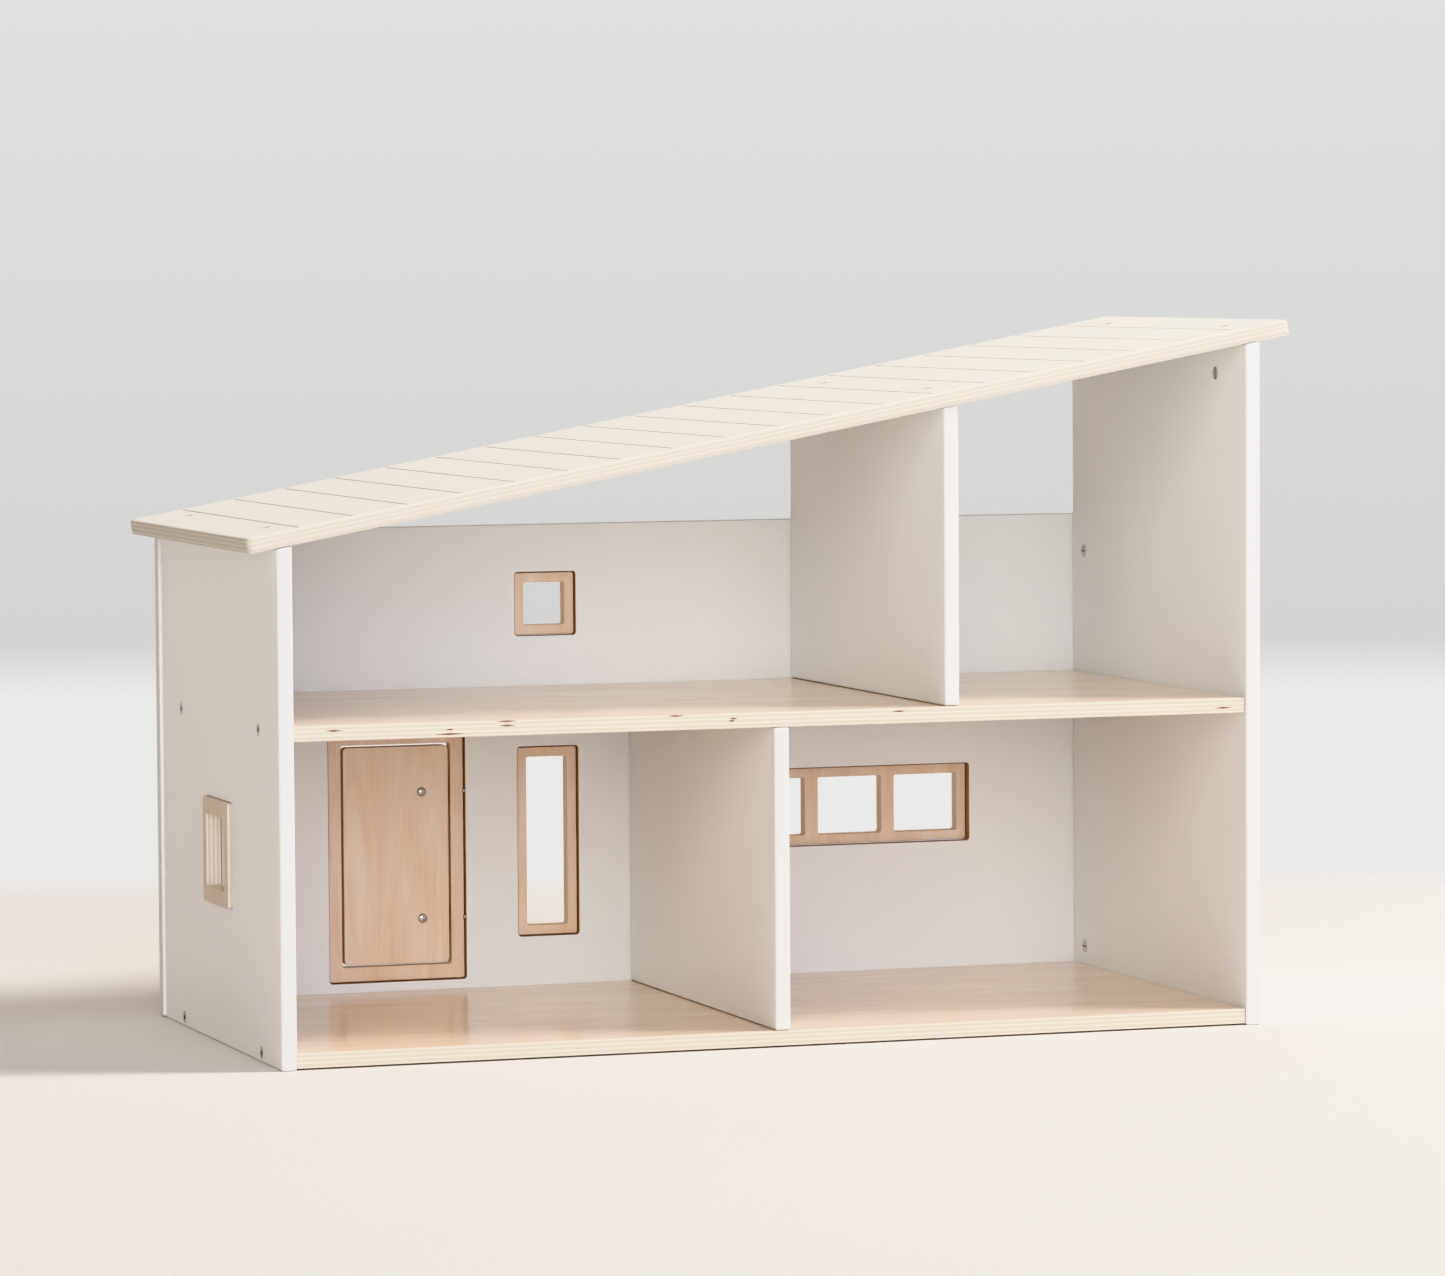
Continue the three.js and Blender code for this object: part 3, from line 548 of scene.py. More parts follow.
def paint(name, light, dark):
    """Satin paint rolled on plywood: a faint stipple, and the plies just showing in the edges.

    The plies are bare inside an opening.
    """
    s = Shader(name)
    face, end_grain, ply_line = ply_edge(s)
    cloud = s.noise(s.stretched(9, 9, 9), detail=3.0)
    stipple = s.noise(s.stretched(900, 900, 900), detail=2.0)
    edge = s.math("SUBTRACT", 1.0, face)
    telegraph = s.math("MULTIPLY", edge, s.math("ADD", end_grain, ply_line))
    drift = s.total((0.9, cloud), (0.25, telegraph), (0.12, s.math("SUBTRACT", stipple, 0.5)))
    # the edges take a greyer tone than the faces: painted shade
    coat = s.mix(s.math("MULTIPLY", edge, 0.8), s.mix(drift, light, dark), EDGE_SHADE_TONE)
    bare = s.mix(end_grain, BARE_LONG, BARE_END)
    s.feed(s.surface.inputs["Base Color"], s.mix(s.math("MULTIPLY", s.inside, edge), coat, bare))
    s.shine(s.math("MULTIPLY_ADD", s.math("SUBTRACT", stipple, 0.5), 0.16, 0.4))
    s.bump(s.total((0.5, stipple), (-0.35, telegraph)), PAINT_RELIEF)
    return s.material


def metal(name, light, dark):
    """Zinc-plated steel, turned, with a fine brushed variation."""
    s = Shader(name)
    brushed = s.noise(s.stretched(2500, 2500, 250), detail=2.0)
    cloud = s.noise(s.stretched(500, 500, 500), detail=2.0)
    s.feed(s.surface.inputs["Base Color"], s.mix(cloud, light, dark))
    s.shine(s.math("MULTIPLY_ADD", brushed, 0.22, 0.12), metallic=1.0)
    s.bump(brushed, BRUSHED_RELIEF)
    return s.material


def clear_birch(name, knots):
    return plywood(name, tone(241, 223, 202), tone(223, 196, 167), tone(220, 214, 200),
                   tone(200, 189, 167), roughness=0.19, knots=knots, specular=0.6)


WHITE = paint("white_paint", tone(244, 244, 243), tone(239, 238, 236))
CLEAR, KNOTTY = clear_birch("clear_birch", 0.02), clear_birch("clear_birch_knotty", 0.16)
PALE = plywood("pale_birch", tone(242, 242, 236), tone(232, 229, 219), tone(218, 213, 202),
               tone(187, 173, 155), roughness=0.5, knots=0.03, figure=0.6, lines=0.95, bands=0.4)
WARM = plywood("warm_ply", tone(243, 225, 205), tone(230, 186, 144), tone(242, 228, 204),
               tone(220, 190, 156), figure=1.7, gap_shade=0.6)
DOOR_WARM = plywood("warm_ply_door", tone(246, 231, 213), tone(232, 189, 147), tone(242, 218, 190),
                    tone(214, 176, 138), figure=1.4, gap_shade=0.15)
SIDE_WARM = plywood("warm_ply_pale", tone(222, 203, 183), tone(205, 178, 154), tone(228, 222, 210),
                    tone(208, 194, 176))
STEEL = metal("zinc_steel", tone(206, 204, 200), tone(176, 173, 168))
BEECH = plywood("beech", tone(222, 190, 150), tone(196, 158, 116), tone(222, 190, 150),
                tone(190, 152, 110), roughness=0.6)

# ---------------------------------------------------------------- fasteners

LEFT_HEADS = [f"left_{level}_floor_screw_{row}" for level in ("lower", "upper") for row in (1, 2)]
RIGHT_HEADS = [name.replace("left", "right") for name in LEFT_HEADS]
ROOF_BOLTS = [f"{board}_roof_bolt_{row}" for board in ("left_wall", "upper_divider", "right_wall")
              for row in (1, 2)]
BACK_BOLTS = [f"{side}_back_bolt_{row}" for side in ("left", "right") for row in (1, 2)]
FOOT_BOLTS = [f"{board}_foot_bolt_{row}" for board in ("lower_divider", "upper_divider")
              for row in (1, 2)]
DOOR_BOLTS = ["lower_door_bolt", "upper_door_bolt"]
HINGE_SCREWS = ["lower_hinge_screw", "upper_hinge_screw"]
DOWELS = ["lower_divider_dowel_1", "lower_divider_dowel_2"]
NUTS = [name.replace("bolt", "nut") for name in ROOF_BOLTS + BACK_BOLTS + FOOT_BOLTS]

# The direction in which each set is driven.
SCREW_SETS = ((LEFT_HEADS, X), (RIGHT_HEADS, -X))
BOLT_SETS = ((ROOF_BOLTS, -Z), (BACK_BOLTS, -Y), (FOOT_BOLTS, Z))
SHANKED = {node: direction for nodes, direction in (*SCREW_SETS, *BOLT_SETS, (DOWELS, Z))
           for node in nodes}
CROSSWISE = {node: X if node.startswith("right") else -X for node in NUTS}


def fastener_place(node, direction):
    """Placement of a fastener whose head is at the start of its node's box, and its length."""
    low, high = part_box(node)
    middle, half = (low + high) / 2, (high - low) / 2
    reach = abs(half.dot(direction))
    side = Z if abs(direction.z) < 0.5 else X
    return axes(middle - direction * reach, side, direction.cross(side)), 2 * reach


def with_arris(profile, arris):
    """Softens the convex rim of a turned profile, given as (radius, height) points."""
    softened = []
    for (r0, z0), (r1, z1), (r2, z2) in zip(profile, profile[1:], profile[2:]):
        before, after = Vector((r0 - r1, z0 - z1)), Vector((r2 - r1, z2 - z1))
        bend = math.pi - before.angle(after, math.pi)
        reach = min(arris, before.length * 0.45, after.length * 0.45)
        if bend < SOFT_BEND:
            softened.append((r1, z1))
            continue
        for share in (0.0, 0.3, 0.7, 1.0):
            start = Vector((r1, z1)) + before.normalized() * reach * (1 - share) ** 2
            softened.append(tuple(start + after.normalized() * reach * share ** 2))
    return [profile[0], *softened, profile[-1]]


def screw_profile(length):
    k = PANEL_SCREW
    return [(CORE, 0), (k["head"], 0), (k["head"], k["rim"]), (k["neck"], k["depth"]),
            (k["neck"], SHEET - k["step"]), (k["shank"], SHEET + k["step"]),
            (k["shank"], length - k["point"]), (CORE, length)]


def shank_profile(kind, length):
    """From under the head to the tip."""
    return [(kind["shank"], kind["depth"]), (kind["shank"], length - TIP["length"]),
            (kind["shank"] - TIP["inset"], length)]


def bolt_profile(kind, length):
    return [(CORE, 0), (kind["head"], 0), (kind["head"], kind["depth"]),
            *shank_profile(kind, length), (CORE, length)]


def pan_profile(kind, length):
    """Low domed head, then the shank."""
    dome = [(kind["head"] * math.sin(t), kind["depth"] * DOME * (1 - math.cos(t)))
            for t in (math.radians(a) for a in range(12, 91, 13))]
    return [*dome, (kind["head"], kind["depth"]), *shank_profile(kind, length)]


def hex_socket(width, depth):
    """A socket as wide across its flats, with a flared mouth and a drilled bottom."""
    bm = bmesh.new()
    corner, bottom = width / math.sqrt(3), width * 0.25
    turned(bm, [(corner + SOCKET_MOUTH, -OVERCUT), (corner + SOCKET_MOUTH, 0),
                (corner, SOCKET_MOUTH), (corner, depth), (CORE, depth + bottom)], steps=6)
    return [bm]


def cross_recess(width, depth):
    """Two tapered wings at right angles, cut one after the other."""
    half_wing, narrowed = 0.13 * width, 0.35
    wings = []
    for turn in (0.0, math.pi / 2):
        bm = bmesh.new()
        place = Matrix.Rotation(turn, 4, "Z")
        loft(bm, [[place @ Vector((*corner, z)) for corner in corners(width / 2 * share, half_wing)]
                  for z, share in ((-OVERCUT, 1.0), (0.0, 1.0), (depth, narrowed))])
        wings.append(bm)
    return wings


def add_fasteners(nodes, direction, profile, tools, arris, material=STEEL):
    """One turned mesh for a set of alike fasteners, cut by the tools, and a copy at each node."""
    _, length = fastener_place(nodes[0], direction)
    bm = bmesh.new()
    turned(bm, with_arris(profile(length), arris))
    first = mesh_object(nodes[0] + "_piece", bm)
    for tool in tools:
        boolean(first, tool, "DIFFERENCE")
    smooth(first, material)
    pieces = [first]
    for node in nodes[1:]:
        copy = bpy.data.objects.new(node + "_piece", first.data.copy())
        bpy.context.scene.collection.objects.link(copy)
        pieces.append(copy)
    for node, piece in zip(nodes, pieces):
        piece.matrix_world = fastener_place(node, direction)[0]
        settle(piece, node)


def add_nuts(nodes, inward, bolt_direction):
    """Barrel nuts with a slotted face and a cross bore; the slot lies along the bolt."""
    place, _ = fastener_place(nodes[0], inward)
    bolt = (place.to_3x3().inverted() @ bolt_direction).normalized()
    reach = NUT_RADIUS * 1.5
    slot, cross_bore = bmesh.new(), bmesh.new()
    turn = Matrix.Rotation(math.atan2(bolt.y, bolt.x), 4, "Z")
    loft(slot, [[turn @ Vector((*corner, z)) for corner in corners(reach, NUT_SLOT["width"] / 2)]
                for z in (-OVERCUT, NUT_SLOT["depth"])])
    across = axes(Vector((0, 0, SHEET / 2)) - bolt * reach, Z, bolt.cross(Z))
    turned(cross_bore, bore(BOLT["shank"] + HOLE_FIT, 0, 2 * reach), across)
    add_fasteners(nodes, inward, partial(rod, NUT_RADIUS, 0), [slot, cross_bore], BOLT_ARRIS)


def dowel_profile(length):
    tip = DOWEL_RADIUS - DOWEL_TIP["inset"]
    return [(CORE, 0), (tip, 0), (DOWEL_RADIUS, DOWEL_TIP["length"]),
            (DOWEL_RADIUS, length - DOWEL_TIP["length"]), (tip, length), (CORE, length)]


def add_all_fasteners():
    for nodes, direction in SCREW_SETS:
        add_fasteners(nodes, direction, screw_profile, hex_socket(**SCREW_SOCKET), SCREW_ARRIS)
    for nodes, direction in BOLT_SETS:
        add_fasteners(nodes, direction, partial(bolt_profile, BOLT), hex_socket(**BOLT_SOCKET),
                      BOLT_ARRIS)
    for nodes, direction, kind, cross in ((DOOR_BOLTS, Y, DOOR_BOLT, DOOR_BOLT_CROSS),
                                          (HINGE_SCREWS, -Y, HINGE_SCREW, HINGE_SCREW_CROSS)):
        add_fasteners(nodes, direction, partial(pan_profile, kind), cross_recess(**cross),
                      PAN_ARRIS)
    add_fasteners(DOWELS, Z, dowel_profile, [], DOWEL_ARRIS, BEECH)
    for inward in (-X, X):
        nodes = [node for node in NUTS if CROSSWISE[node] == inward]
        add_nuts([node for node in nodes if "back" not in node], inward, Z)
        add_nuts([node for node in nodes if "back" in node], inward, Y)


def hole_profile(profile):
    """A fastener's profile with clearance all round, open above its head with a rounded rim."""
    wide = [(r + HOLE_FIT, z) for r, z in profile[1:-1]]
    rim = [(wide[0][0] + o, d) for d, o in flare(HOLE_MOUTH)]
    tip = profile[-1][1] + HOLE_FIT
    return [*rim, *[p for p in wide[1:] if p[1] > HOLE_MOUTH], (wide[-1][0], tip)]


def fastener_profile(node, length):
    """Profile of the fastener that stands for a node, as far as its hole follows it."""
    if "screw" in node:
        return screw_profile(length)
    if "nut" in node:
        return rod(NUT_RADIUS, 0, length)
    if "dowel" in node:
        return rod(DOWEL_RADIUS, 0, length)
    return bolt_profile(BOLT, length)


def fastener_holes(board, direction_of):
    """One mesh with the holes for every listed fastener whose box meets the board's box."""
    low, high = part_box(board)
    bm = bmesh.new()
    for node, direction in direction_of.items():
        node_low, node_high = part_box(node)
        if all(node_low[k] < high[k] and node_high[k] > low[k] for k in range(3)):
            place, length = fastener_place(node, direction)
            turned(bm, hole_profile(fastener_profile(node, length)), place)
    return bm


def drill(piece, board):
    """Cuts a board's fastener holes: first for the shanks, then for the nuts that cross them."""
    for direction_of in (SHANKED, CROSSWISE):
        holes = fastener_holes(board, direction_of)
        if holes.faces:
            boolean(piece, holes, "DIFFERENCE")
        else:
            holes.free()


# ---------------------------------------------------------------- boards

LEFT_HIGH, RIGHT_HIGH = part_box("left_wall")[1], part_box("right_wall")[1]
SLOPE = math.atan2(RIGHT_HIGH.z - LEFT_HIGH.z, RIGHT_HIGH.x - LEFT_HIGH.x)


def opening_for(bm, frame_node, board, normal, fit=FRAME_FIT):
    """Adds the cutter for the opening in a board that a frame stands in."""
    low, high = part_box(frame_node)
    board_low, board_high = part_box(board)
    middle = (low + high) / 2
    across = X if normal is Y else Y
    half_a, half_b = (high - low).z / 2 + fit, (high - low).dot(across) / 2 + fit
    start, end = board_low.dot(normal), board_high.dot(normal)
    place = axes(Vector(), Z, across)
    if place.to_3x3() @ Z != normal:
        start, end = -end, -start
    outline = rounded(middle.z, middle.dot(across), half_a, half_b, FRAME_CORNER + fit)
    cutter(bm, outline, start, end, OPENING_MOUTH, OPENING_MOUTH, place)


def add_wall(node, frames=()):
    """A painted upright board, its thickness along X. Its top follows what lies on it."""
    low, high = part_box(node)
    size = high - low
    shear = 0.0 if node == "lower_divider" else math.tan(SLOPE)
    piece = mesh_object(node + "_piece", slab(rectangle(size.y, size.z), SHEET, WALL_ARRIS, shear),
                        axes(low, Y, Z))
    for window in frames:
        bm = bmesh.new()
        opening_for(bm, window, node, X, SIDE_FIT)
        boolean(piece, bm, "DIFFERENCE")
    drill(piece, node)
    finish_piece(piece, node, WHITE)


def add_back_panel():
    node = "back_panel"
    low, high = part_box(node)
    size = high - low
    piece = mesh_object(node + "_piece", slab(rectangle(size.z, size.x), SHEET, FLOOR_ARRIS),
                        axes(low, Z, X))
    bm = bmesh.new()
    for window in ("square_window_frame", "tall_window_frame", "wide_window_frame", "door_frame"):
        opening_for(bm, window, node, Y)
    boolean(piece, bm, "DIFFERENCE")
    drill(piece, node)
    cut_hinge_screws(piece)
    finish_piece(piece, node, WHITE)


def cut_hinge_screws(piece):
    bm = bmesh.new()
    for node in HINGE_SCREWS:
        place, length = fastener_place(node, -Y)
        turned(bm, bore(HINGE_SCREW["shank"] + HOLE_FIT, 0, length + OVERCUT), place)
    boolean(piece, bm, "DIFFERENCE")


def add_floor(node, material):
    low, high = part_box(node)
    size = high - low
    piece = mesh_object(node + "_piece", slab(rectangle(size.x, size.y), SHEET, FLOOR_ARRIS),
                        axes(low, X, Y))
    drill(piece, node)
    finish_piece(piece, node, material)


def add_roof():
    """The roof lies along its slope: its X runs up the slope from the low front bottom corner."""
    node = "roof_panel"
    low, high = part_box(node)
    length = (high.x - low.x - SHEET * math.sin(SLOPE)) / math.cos(SLOPE)
    depth = high.y - low.y
    along = Vector((math.cos(SLOPE), 0, math.sin(SLOPE)))
    place = axes(low + X * SHEET * math.sin(SLOPE), along, Y)
    outline = rounded(length / 2, depth / 2, length / 2, depth / 2, ROOF_CORNER, steps=8)
    piece = mesh_object(node + "_piece", slab(outline(), SHEET, ROOF_ARRIS, segments=6), place)
    grooves, pits = bmesh.new(), bmesh.new()
    for index in range(1, PLANKS):
        x = index * length / PLANKS
        groove = rounded(x, depth / 2, GROOVE_WIDTH / 2, depth / 2 - GROOVE_MARGIN,
                         GROOVE_WIDTH * GROOVE_END)
        cutter(grooves, groove, SHEET - GROOVE_DEPTH, SHEET, mouth_high=GROOVE_MOUTH, place=place)
        for y in (GROOVE_MARGIN + PIT["radius"], depth - GROOVE_MARGIN - PIT["radius"]):
            pit = round_hole(x, y, PIT["radius"])
            cutter(pits, pit, SHEET - PIT["depth"], SHEET, mouth_high=GROOVE_MOUTH, place=place)
    boolean(piece, grooves, "DIFFERENCE")
    boolean(piece, pits, "DIFFERENCE")
    pockets = bmesh.new()
    head, shank = BOLT["head"] + 2 * HOLE_FIT, BOLT["shank"] + HOLE_FIT
    shoulder = BOLT["depth"] + HOLE_FIT
    for bolt in ROOF_BOLTS:
        bolt_place, bolt_length = fastener_place(bolt, -Z)
        pocket = [*bore(head, -POCKET_REACH, shoulder), *bore(shank, shoulder, bolt_length)]
        turned(pockets, pocket, bolt_place)
    boolean(piece, pockets, "DIFFERENCE")
    finish_piece(piece, node, PALE)


def add_boards():
    add_wall("left_wall", ["side_window_frame"])
    add_wall("right_wall")
    add_wall("lower_divider")
    add_wall("upper_divider")
    add_back_panel()
    add_floor("floor_panel", CLEAR)
    add_floor("upper_floor_panel", KNOTTY)
    add_roof()


# ---------------------------------------------------------------- frames and door


def add_frame(node, place, width, height, stile, rail, panes=1, mullion=0.0, material=WARM):
    """A flat frame drawn with its height along X and its width along Y, and its panes cut out."""
    outline = rounded(height / 2, width / 2, height / 2, width / 2, FRAME_CORNER)
    piece = mesh_object(node + "_piece", slab(outline(), SHEET, FRAME_ARRIS, segments=3), place)
    pane = (width - 2 * stile - (panes - 1) * mullion) / panes
    bm = bmesh.new()
    for index in range(panes):
        middle = stile + pane / 2 + index * (pane + mullion)
        hole = rounded(height / 2, middle, height / 2 - rail, pane / 2, FRAME_CORNER)
        cutter(bm, hole, 0.0, SHEET, FRAME_ARRIS, FRAME_ARRIS, place)
    boolean(piece, bm, "DIFFERENCE")
    if node == "door_frame":
        cut_hinge_screws(piece)
    finish_piece(piece, node, material)


def add_frames():
    for node, panes in (("square_window_frame", SQUARE_PANES), ("tall_window_frame", SQUARE_PANES),
                        ("wide_window_frame", WIDE_PANES), ("door_frame", DOOR_OPENING)):
        low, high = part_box(node)
        size = high - low
        add_frame(node, axes(low, Z, X), size.x, size.z, **panes)
    low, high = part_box("side_window_frame")
    size = high - low
    corner = Vector((high.x, low.y, low.z))
    add_frame("side_window_frame", axes(corner, Z, Y), size.y, size.z, material=SIDE_WARM,
              **SIDE_PANES)


def add_door_panel():
    node = "door_panel"
    low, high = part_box(node)
    size = high - low
    outline = rounded(size.z / 2, size.x / 2, size.z / 2, size.x / 2, DOOR_CORNER)
    board = slab(outline(), SHEET, FRAME_ARRIS, segments=3)
    piece = mesh_object(node + "_piece", board, axes(low, Z, X))
    holes, seats = bmesh.new(), bmesh.new()
    for bolt in DOOR_BOLTS:
        bolt_low, bolt_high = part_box(bolt)
        middle = (bolt_low + bolt_high) / 2
        hole = round_hole(middle.z, middle.x, DOOR_BOLT["shank"] + HOLE_FIT)
        cutter(holes, hole, low.y, high.y, HOLE_MOUTH, HOLE_MOUTH, axes(Vector(), Z, X))
        place, _ = fastener_place(bolt, Y)
        turned(seats, bore(DOOR_BOLT["head"] + BOLT_SEAT, 0, DOOR_BOLT["depth"] + BOLT_SEAT), place)
    boolean(piece, holes, "DIFFERENCE")
    boolean(piece, seats, "DIFFERENCE")
    finish_piece(piece, node, DOOR_WARM)


# ---------------------------------------------------------------- hinges


def plate(outline, y):
    """A thin plate drawn in X and Z, standing from y to y plus a leaf's thickness."""
    bm = slab([(z, x) for x, z in outline], LEAF, LEAF_ARRIS, segments=2)
    bmesh.ops.transform(bm, matrix=axes(Vector((0, y, 0)), Z, X), verts=bm.verts)
    return bm


def upright_rod(x, y, low, high, radius, arris):
    bm = bmesh.new()
    turned(bm, with_arris(rod(radius, low, high), arris), Matrix.Translation((x, y, 0)))
    return bm


def block(low, high):
    """A box between two corners."""
    bm = bmesh.new()
    ring = [(low[0], low[1]), (high[0], low[1]), (high[0], high[1]), (low[0], high[1])]
    loft(bm, [[Vector((x, y, z)) for x, y in ring] for z in (low[2], high[2])])
    return bm


def hinge_axis(level):
    """From the door's leaf: X and Y of the pin, and the knuckles' lowest and highest Z."""
    low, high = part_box(f"{level}_hinge_door_leaf")
    return high.x - KNUCKLE, high.y - KNUCKLE, low.z, high.z


def knuckle_span(level):
    """Lowest and highest Z of the frame leaf's own, middle knuckle: a third of the hinge."""
    _, _, bottom, top = hinge_axis(level)
    third = (top - bottom) / 3
    return bottom + third, top - third


def add_door_leaf(level):
    node = f"{level}_hinge_door_leaf"
    x, y, bottom, top = hinge_axis(level)
    low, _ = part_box(node)
    middle = (bottom + top) / 2
    bolt_x = low.x + STRAP_END
    shoulder = x - KNUCKLE - STRAP_SHOULDER
    end = [(bolt_x + STRAP_END * math.cos(t), middle + STRAP_END * math.sin(t))
           for t in (math.radians(a) for a in range(90, 271, 12))]
    outline = [(x, bottom), (x, top), (shoulder, top), *end, (shoulder, bottom)]
    piece = mesh_object(node + "_piece", plate(outline, low.y))
    boolean(piece, upright_rod(x, y, bottom, top, KNUCKLE, KNUCKLE_ARRIS), "UNION")
    boss = bmesh.new()
    boss_profile = rod(BOSS["radius"], 0, LEAF / 2 + BOSS["depth"])
    turned(boss, with_arris(boss_profile, KNUCKLE_ARRIS),
           axes(Vector((bolt_x, low.y + LEAF / 2, middle)), Z, X))
    boolean(piece, boss, "UNION")
    frame_low, frame_high = knuckle_span(level)
    notch = block((x - KNUCKLE - KNUCKLE_ROOM, low.y - OVERCUT, frame_low - KNUCKLE_PLAY),
                  (x + KNUCKLE + OVERCUT, y + KNUCKLE + OVERCUT, frame_high + KNUCKLE_PLAY))
    boolean(piece, notch, "DIFFERENCE")
    holes = bmesh.new()
    turned(holes, bore(PIN + KNUCKLE_PLAY, bottom - OVERCUT, top + OVERCUT),
           Matrix.Translation((x, y, 0)))
    turned(holes, bore(DOOR_BOLT["shank"] + HOLE_FIT, 0, THREAD_REACH),
           axes(Vector((bolt_x, low.y - OVERCUT, middle)), Z, X))
    boolean(piece, holes, "DIFFERENCE")
    finish_piece(piece, node, STEEL)


def add_frame_leaf(level):
    node = f"{level}_hinge_frame_leaf"
    x, y, bottom, top = hinge_axis(level)
    low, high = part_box(node)
    middle = (bottom + top) / 2
    width = high.x - x
    outline = rounded(x + width / 2, middle, width / 2, (top - bottom) / 2, LEAF_CORNER)()
    piece = mesh_object(node + "_piece", plate(outline, low.y))
    knuckle_low, knuckle_high = knuckle_span(level)
    boolean(piece, upright_rod(x, y, knuckle_low, knuckle_high, KNUCKLE, KNUCKLE_ARRIS), "UNION")
    clear = KNUCKLE + KNUCKLE_ROOM
    for z0, z1 in ((bottom - OVERCUT, knuckle_low), (knuckle_high, top + OVERCUT)):
        notch = block((x - clear, low.y - OVERCUT, z0), (x + clear, y + KNUCKLE_REACH, z1))
        boolean(piece, notch, "DIFFERENCE")
    boolean(piece, upright_rod(x, y, low.z, high.z, PIN, PIN_ARRIS), "UNION")
    hole = bmesh.new()
    screw, _ = fastener_place(f"{level}_hinge_screw", -Y)
    turned(hole, bore(HINGE_SCREW["shank"] + HOLE_FIT, 0, SCREW_REACH), screw)
    boolean(piece, hole, "DIFFERENCE")
    finish_piece(piece, node, STEEL)


def add_hinges():
    for level in ("lower", "upper"):
        add_door_leaf(level)
        add_frame_leaf(level)


# ---------------------------------------------------------------- stage

VIEW_AZIMUTH = math.radians(18.536)      # the camera looks this far from +Y towards +X
VIEW_PITCH = math.radians(3.432)         # and this far below the horizon
VIEW_ROLL = math.radians(0.371)
CAMERA_PLACE = Vector((-1.5973, -4.8113, 0.6103))
LENS = 158.31                            # millimetres, as the sensor's width
SENSOR = 36.0                            # width
FLOOR_BACK_FADE = (0.93, 1.25)           # where it fades out, from the house's middle backwards
FLOOR_SIDE_FADE = (2.5, 5.0)             # and from the house's middle in any direction
FLOOR_REACH = 5.0
FLOOR_DROP = 0.2 * MM                    # below the walls' feet
FLEECE_RELIEF = 0.8 * MM
KEY_AZIMUTH, KEY_HEIGHT = 69, 44         # degrees from the front towards +X, and above the horizon
KEY_DISTANCE, KEY_SIZE = 4.2, 1.3
KEY_STRENGTH = 3.3
AMBIENT = (0.292, 0.223, 0.174)
BACKDROP_SPAN = (-0.12, 0.08)            # sines of the ramp's ends, from the horizon upwards
BACKDROP_STOPS = ((0.26, (0.88, 0.88, 0.87)), (0.3, (0.70, 0.695, 0.69)),
                  (0.8, (0.79, 0.79, 0.79)))


def add_camera():
    forward = Vector((math.sin(VIEW_AZIMUTH) * math.cos(VIEW_PITCH),
                      math.cos(VIEW_AZIMUTH) * math.cos(VIEW_PITCH), -math.sin(VIEW_PITCH)))
    level = Vector((math.cos(VIEW_AZIMUTH), -math.sin(VIEW_AZIMUTH), 0))
    down = forward.cross(level)
    right = level * math.cos(VIEW_ROLL) + down * math.sin(VIEW_ROLL)
    below = down * math.cos(VIEW_ROLL) - level * math.sin(VIEW_ROLL)
    data = bpy.data.cameras.new("camera")
    data.sensor_width, data.lens = SENSOR, LENS
    data.clip_start, data.clip_end = 0.1, 100.0
    camera = bpy.data.objects.new("camera", data)
    bpy.context.scene.collection.objects.link(camera)
    turn = Matrix((right, -below, -forward)).transposed().to_4x4()
    camera.matrix_world = Matrix.Translation(CAMERA_PLACE) @ turn
    bpy.context.scene.camera = camera


def add_stage_floor():
    """A plain pale floor that fades out behind the house, and further away on its other sides."""
    s = Shader("stage_floor")
    s.place = s.add("ShaderNodeTexCoord").outputs["Object"]
    cloud = s.noise(s.stretched(3, 3, 3), detail=3.0)
    fleece = s.noise(s.stretched(220, 220, 220), detail=3.0, roughness=0.7)
    s.feed(s.surface.inputs["Base Color"], s.mix(s.total((0.6, cloud), (0.4, fleece)),
                                                 tone(243, 241, 238), tone(238, 235, 231)))
    away = s.add("ShaderNodeVectorMath", {0: s.place}, operation="LENGTH").outputs["Value"]
    behind = s.step(s.split(s.place)[1], *FLOOR_BACK_FADE)
    faded = s.math("MAXIMUM", behind, s.step(away, *FLOOR_SIDE_FADE))
    s.feed(s.surface.inputs["Alpha"], s.math("SUBTRACT", 1.0, faded))
    s.shine(0.9, specular=0.2)
    s.bump(fleece, FLEECE_RELIEF)
    bm = bmesh.new()
    bm.faces.new([bm.verts.new((*corner, 0)) for corner in corners(FLOOR_REACH, FLOOR_REACH)])
    place = Matrix.Translation((0, 0, -FLOOR_DROP)) @ Matrix.Rotation(-VIEW_AZIMUTH, 4, "Z")
    floor = mesh_object("stage_floor", bm, place)
    floor.data.materials.append(s.material)


def towards(azimuth, height):
    """Direction to a light, in degrees: 0 is in front, and positive towards the high wall."""
    azimuth, height = math.radians(azimuth), math.radians(height)
    return Vector((math.cos(height) * math.sin(azimuth), -math.cos(height) * math.cos(azimuth),
                   math.sin(height)))


def add_lamp(name, data, direction, distance=0.0):
    lamp = bpy.data.objects.new(name, data)
    lamp.visible_camera = False
    bpy.context.scene.collection.objects.link(lamp)
    centre = (cad_box[0] + cad_box[1]) / 2
    turn = direction.to_track_quat("Z", "Y").to_matrix().to_4x4()
    lamp.matrix_world = Matrix.Translation(centre + direction * distance) @ turn


def add_sky_light(name, azimuth, height, spread, strength, colour=(1.0, 1.0, 1.0)):
    """A distant soft source, as wide as its spread."""
    data = bpy.data.lights.new(name, "SUN")
    data.energy, data.angle, data.color = strength, math.radians(spread), colour
    add_lamp(name, data, towards(azimuth, height))


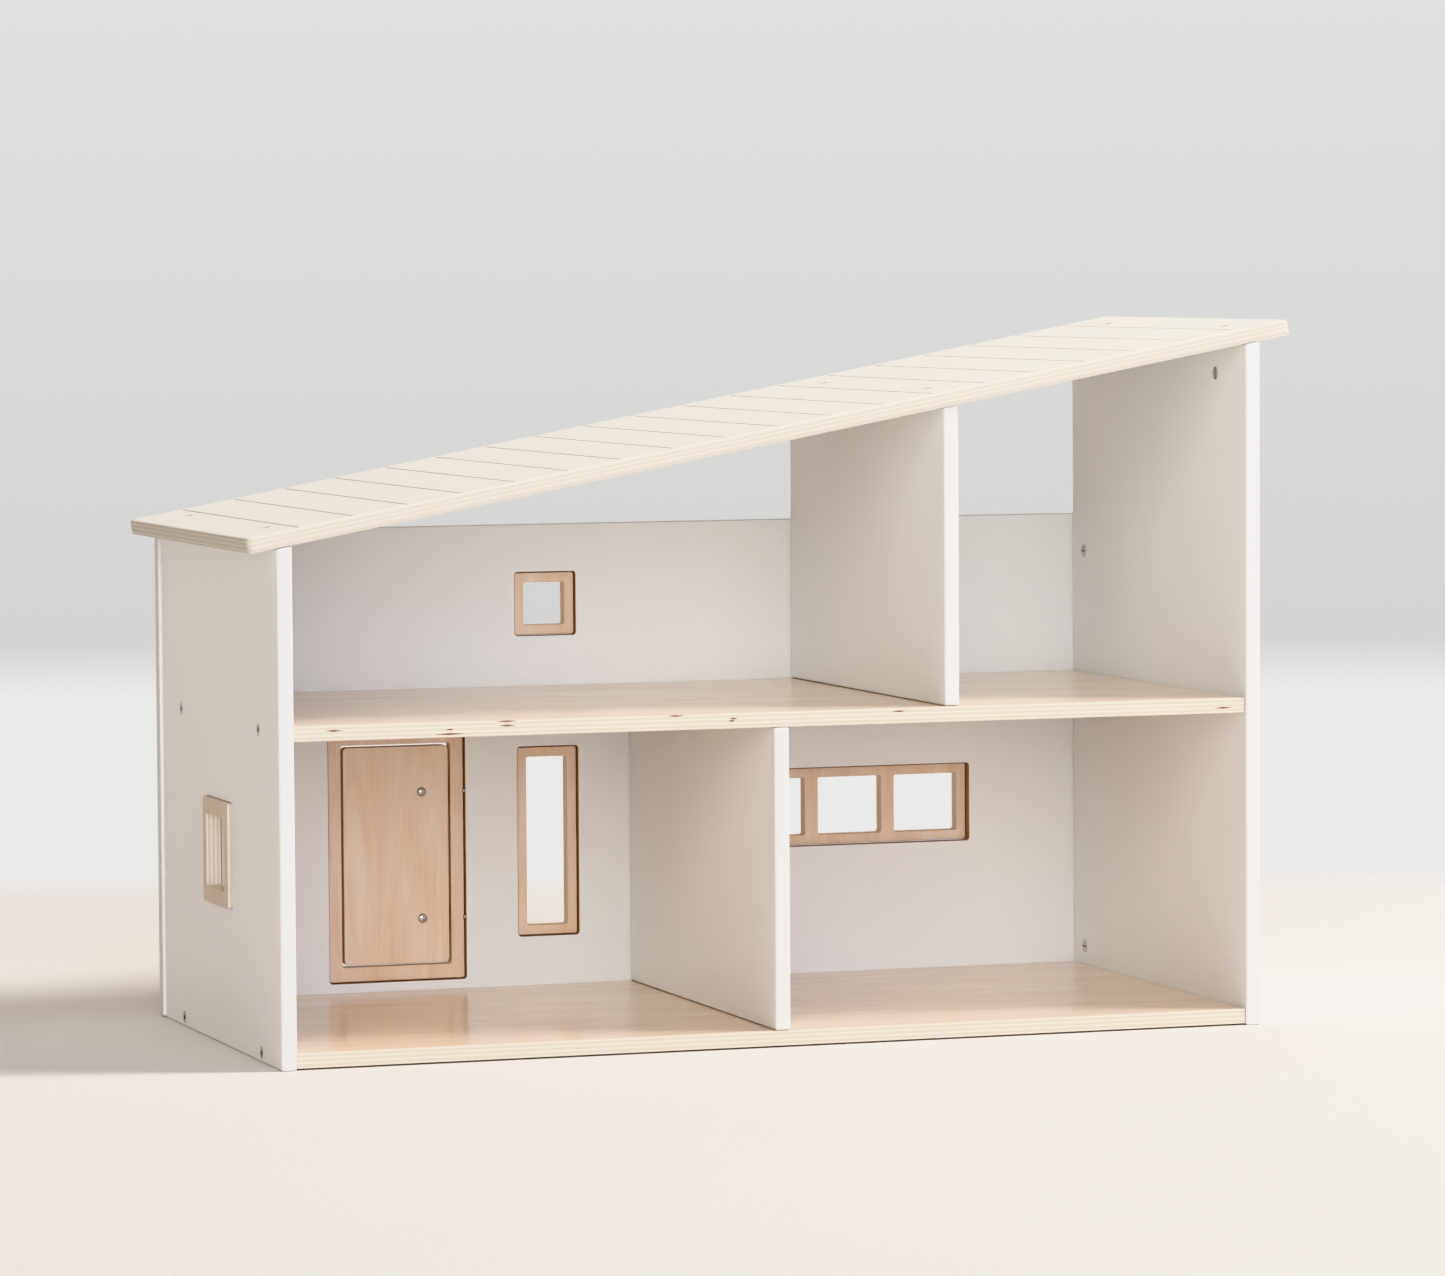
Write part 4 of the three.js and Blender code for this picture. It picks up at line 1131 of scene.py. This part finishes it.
def add_key_light():
    data = bpy.data.lights.new("key", "AREA")
    data.shape, data.size = "DISK", KEY_SIZE
    data.energy = KEY_STRENGTH * math.pi * KEY_DISTANCE ** 2
    add_lamp("key", data, towards(KEY_AZIMUTH, KEY_HEIGHT), KEY_DISTANCE)


def add_backdrop():
    """Pale surroundings: grey, with a white band at the floor's end.

    They light the house more dimly than they look.
    """
    world = bpy.data.worlds.new("studio")
    world.use_nodes = True
    nodes, links = world.node_tree.nodes, world.node_tree.links
    surface = nodes["Background"]
    split = nodes.new("ShaderNodeSeparateXYZ")
    links.new(nodes.new("ShaderNodeTexCoord").outputs["Generated"], split.inputs[0])
    shift = nodes.new("ShaderNodeMapRange")
    shift.inputs["From Min"].default_value, shift.inputs["From Max"].default_value = BACKDROP_SPAN
    links.new(split.outputs[2], shift.inputs[0])
    ramp = nodes.new("ShaderNodeValToRGB")
    links.new(shift.outputs[0], ramp.inputs[0])
    for index, (at, colour) in enumerate(BACKDROP_STOPS):
        stop = ramp.color_ramp.elements[index] if index < 2 else ramp.color_ramp.elements.new(at)
        stop.position, stop.color = at, (*colour, 1.0)
    share = nodes.new("ShaderNodeMix")
    share.data_type = "RGBA"
    share.inputs[6].default_value = (*AMBIENT, 1.0)
    links.new(nodes.new("ShaderNodeLightPath").outputs["Is Camera Ray"], share.inputs[0])
    links.new(ramp.outputs[0], share.inputs[7])
    links.new(share.outputs[2], surface.inputs[0])
    bpy.context.scene.world = world
    bpy.context.scene.view_settings.view_transform = "Khronos PBR Neutral"


def add_light():
    add_key_light()
    add_sky_light("fill", azimuth=-20, height=12, spread=60, strength=2.0,
                  colour=(0.99, 1.02, 0.98))
    add_sky_light("window", azimuth=8, height=14, spread=60, strength=0.85,
                  colour=(0.84, 0.95, 1.33))
    add_sky_light("behind", azimuth=170, height=18, spread=80, strength=0.75)


# ---------------------------------------------------------------- assembly

add_camera()
add_stage_floor()
add_backdrop()
add_light()
add_boards()
add_frames()
add_door_panel()
add_hinges()
add_all_fasteners()
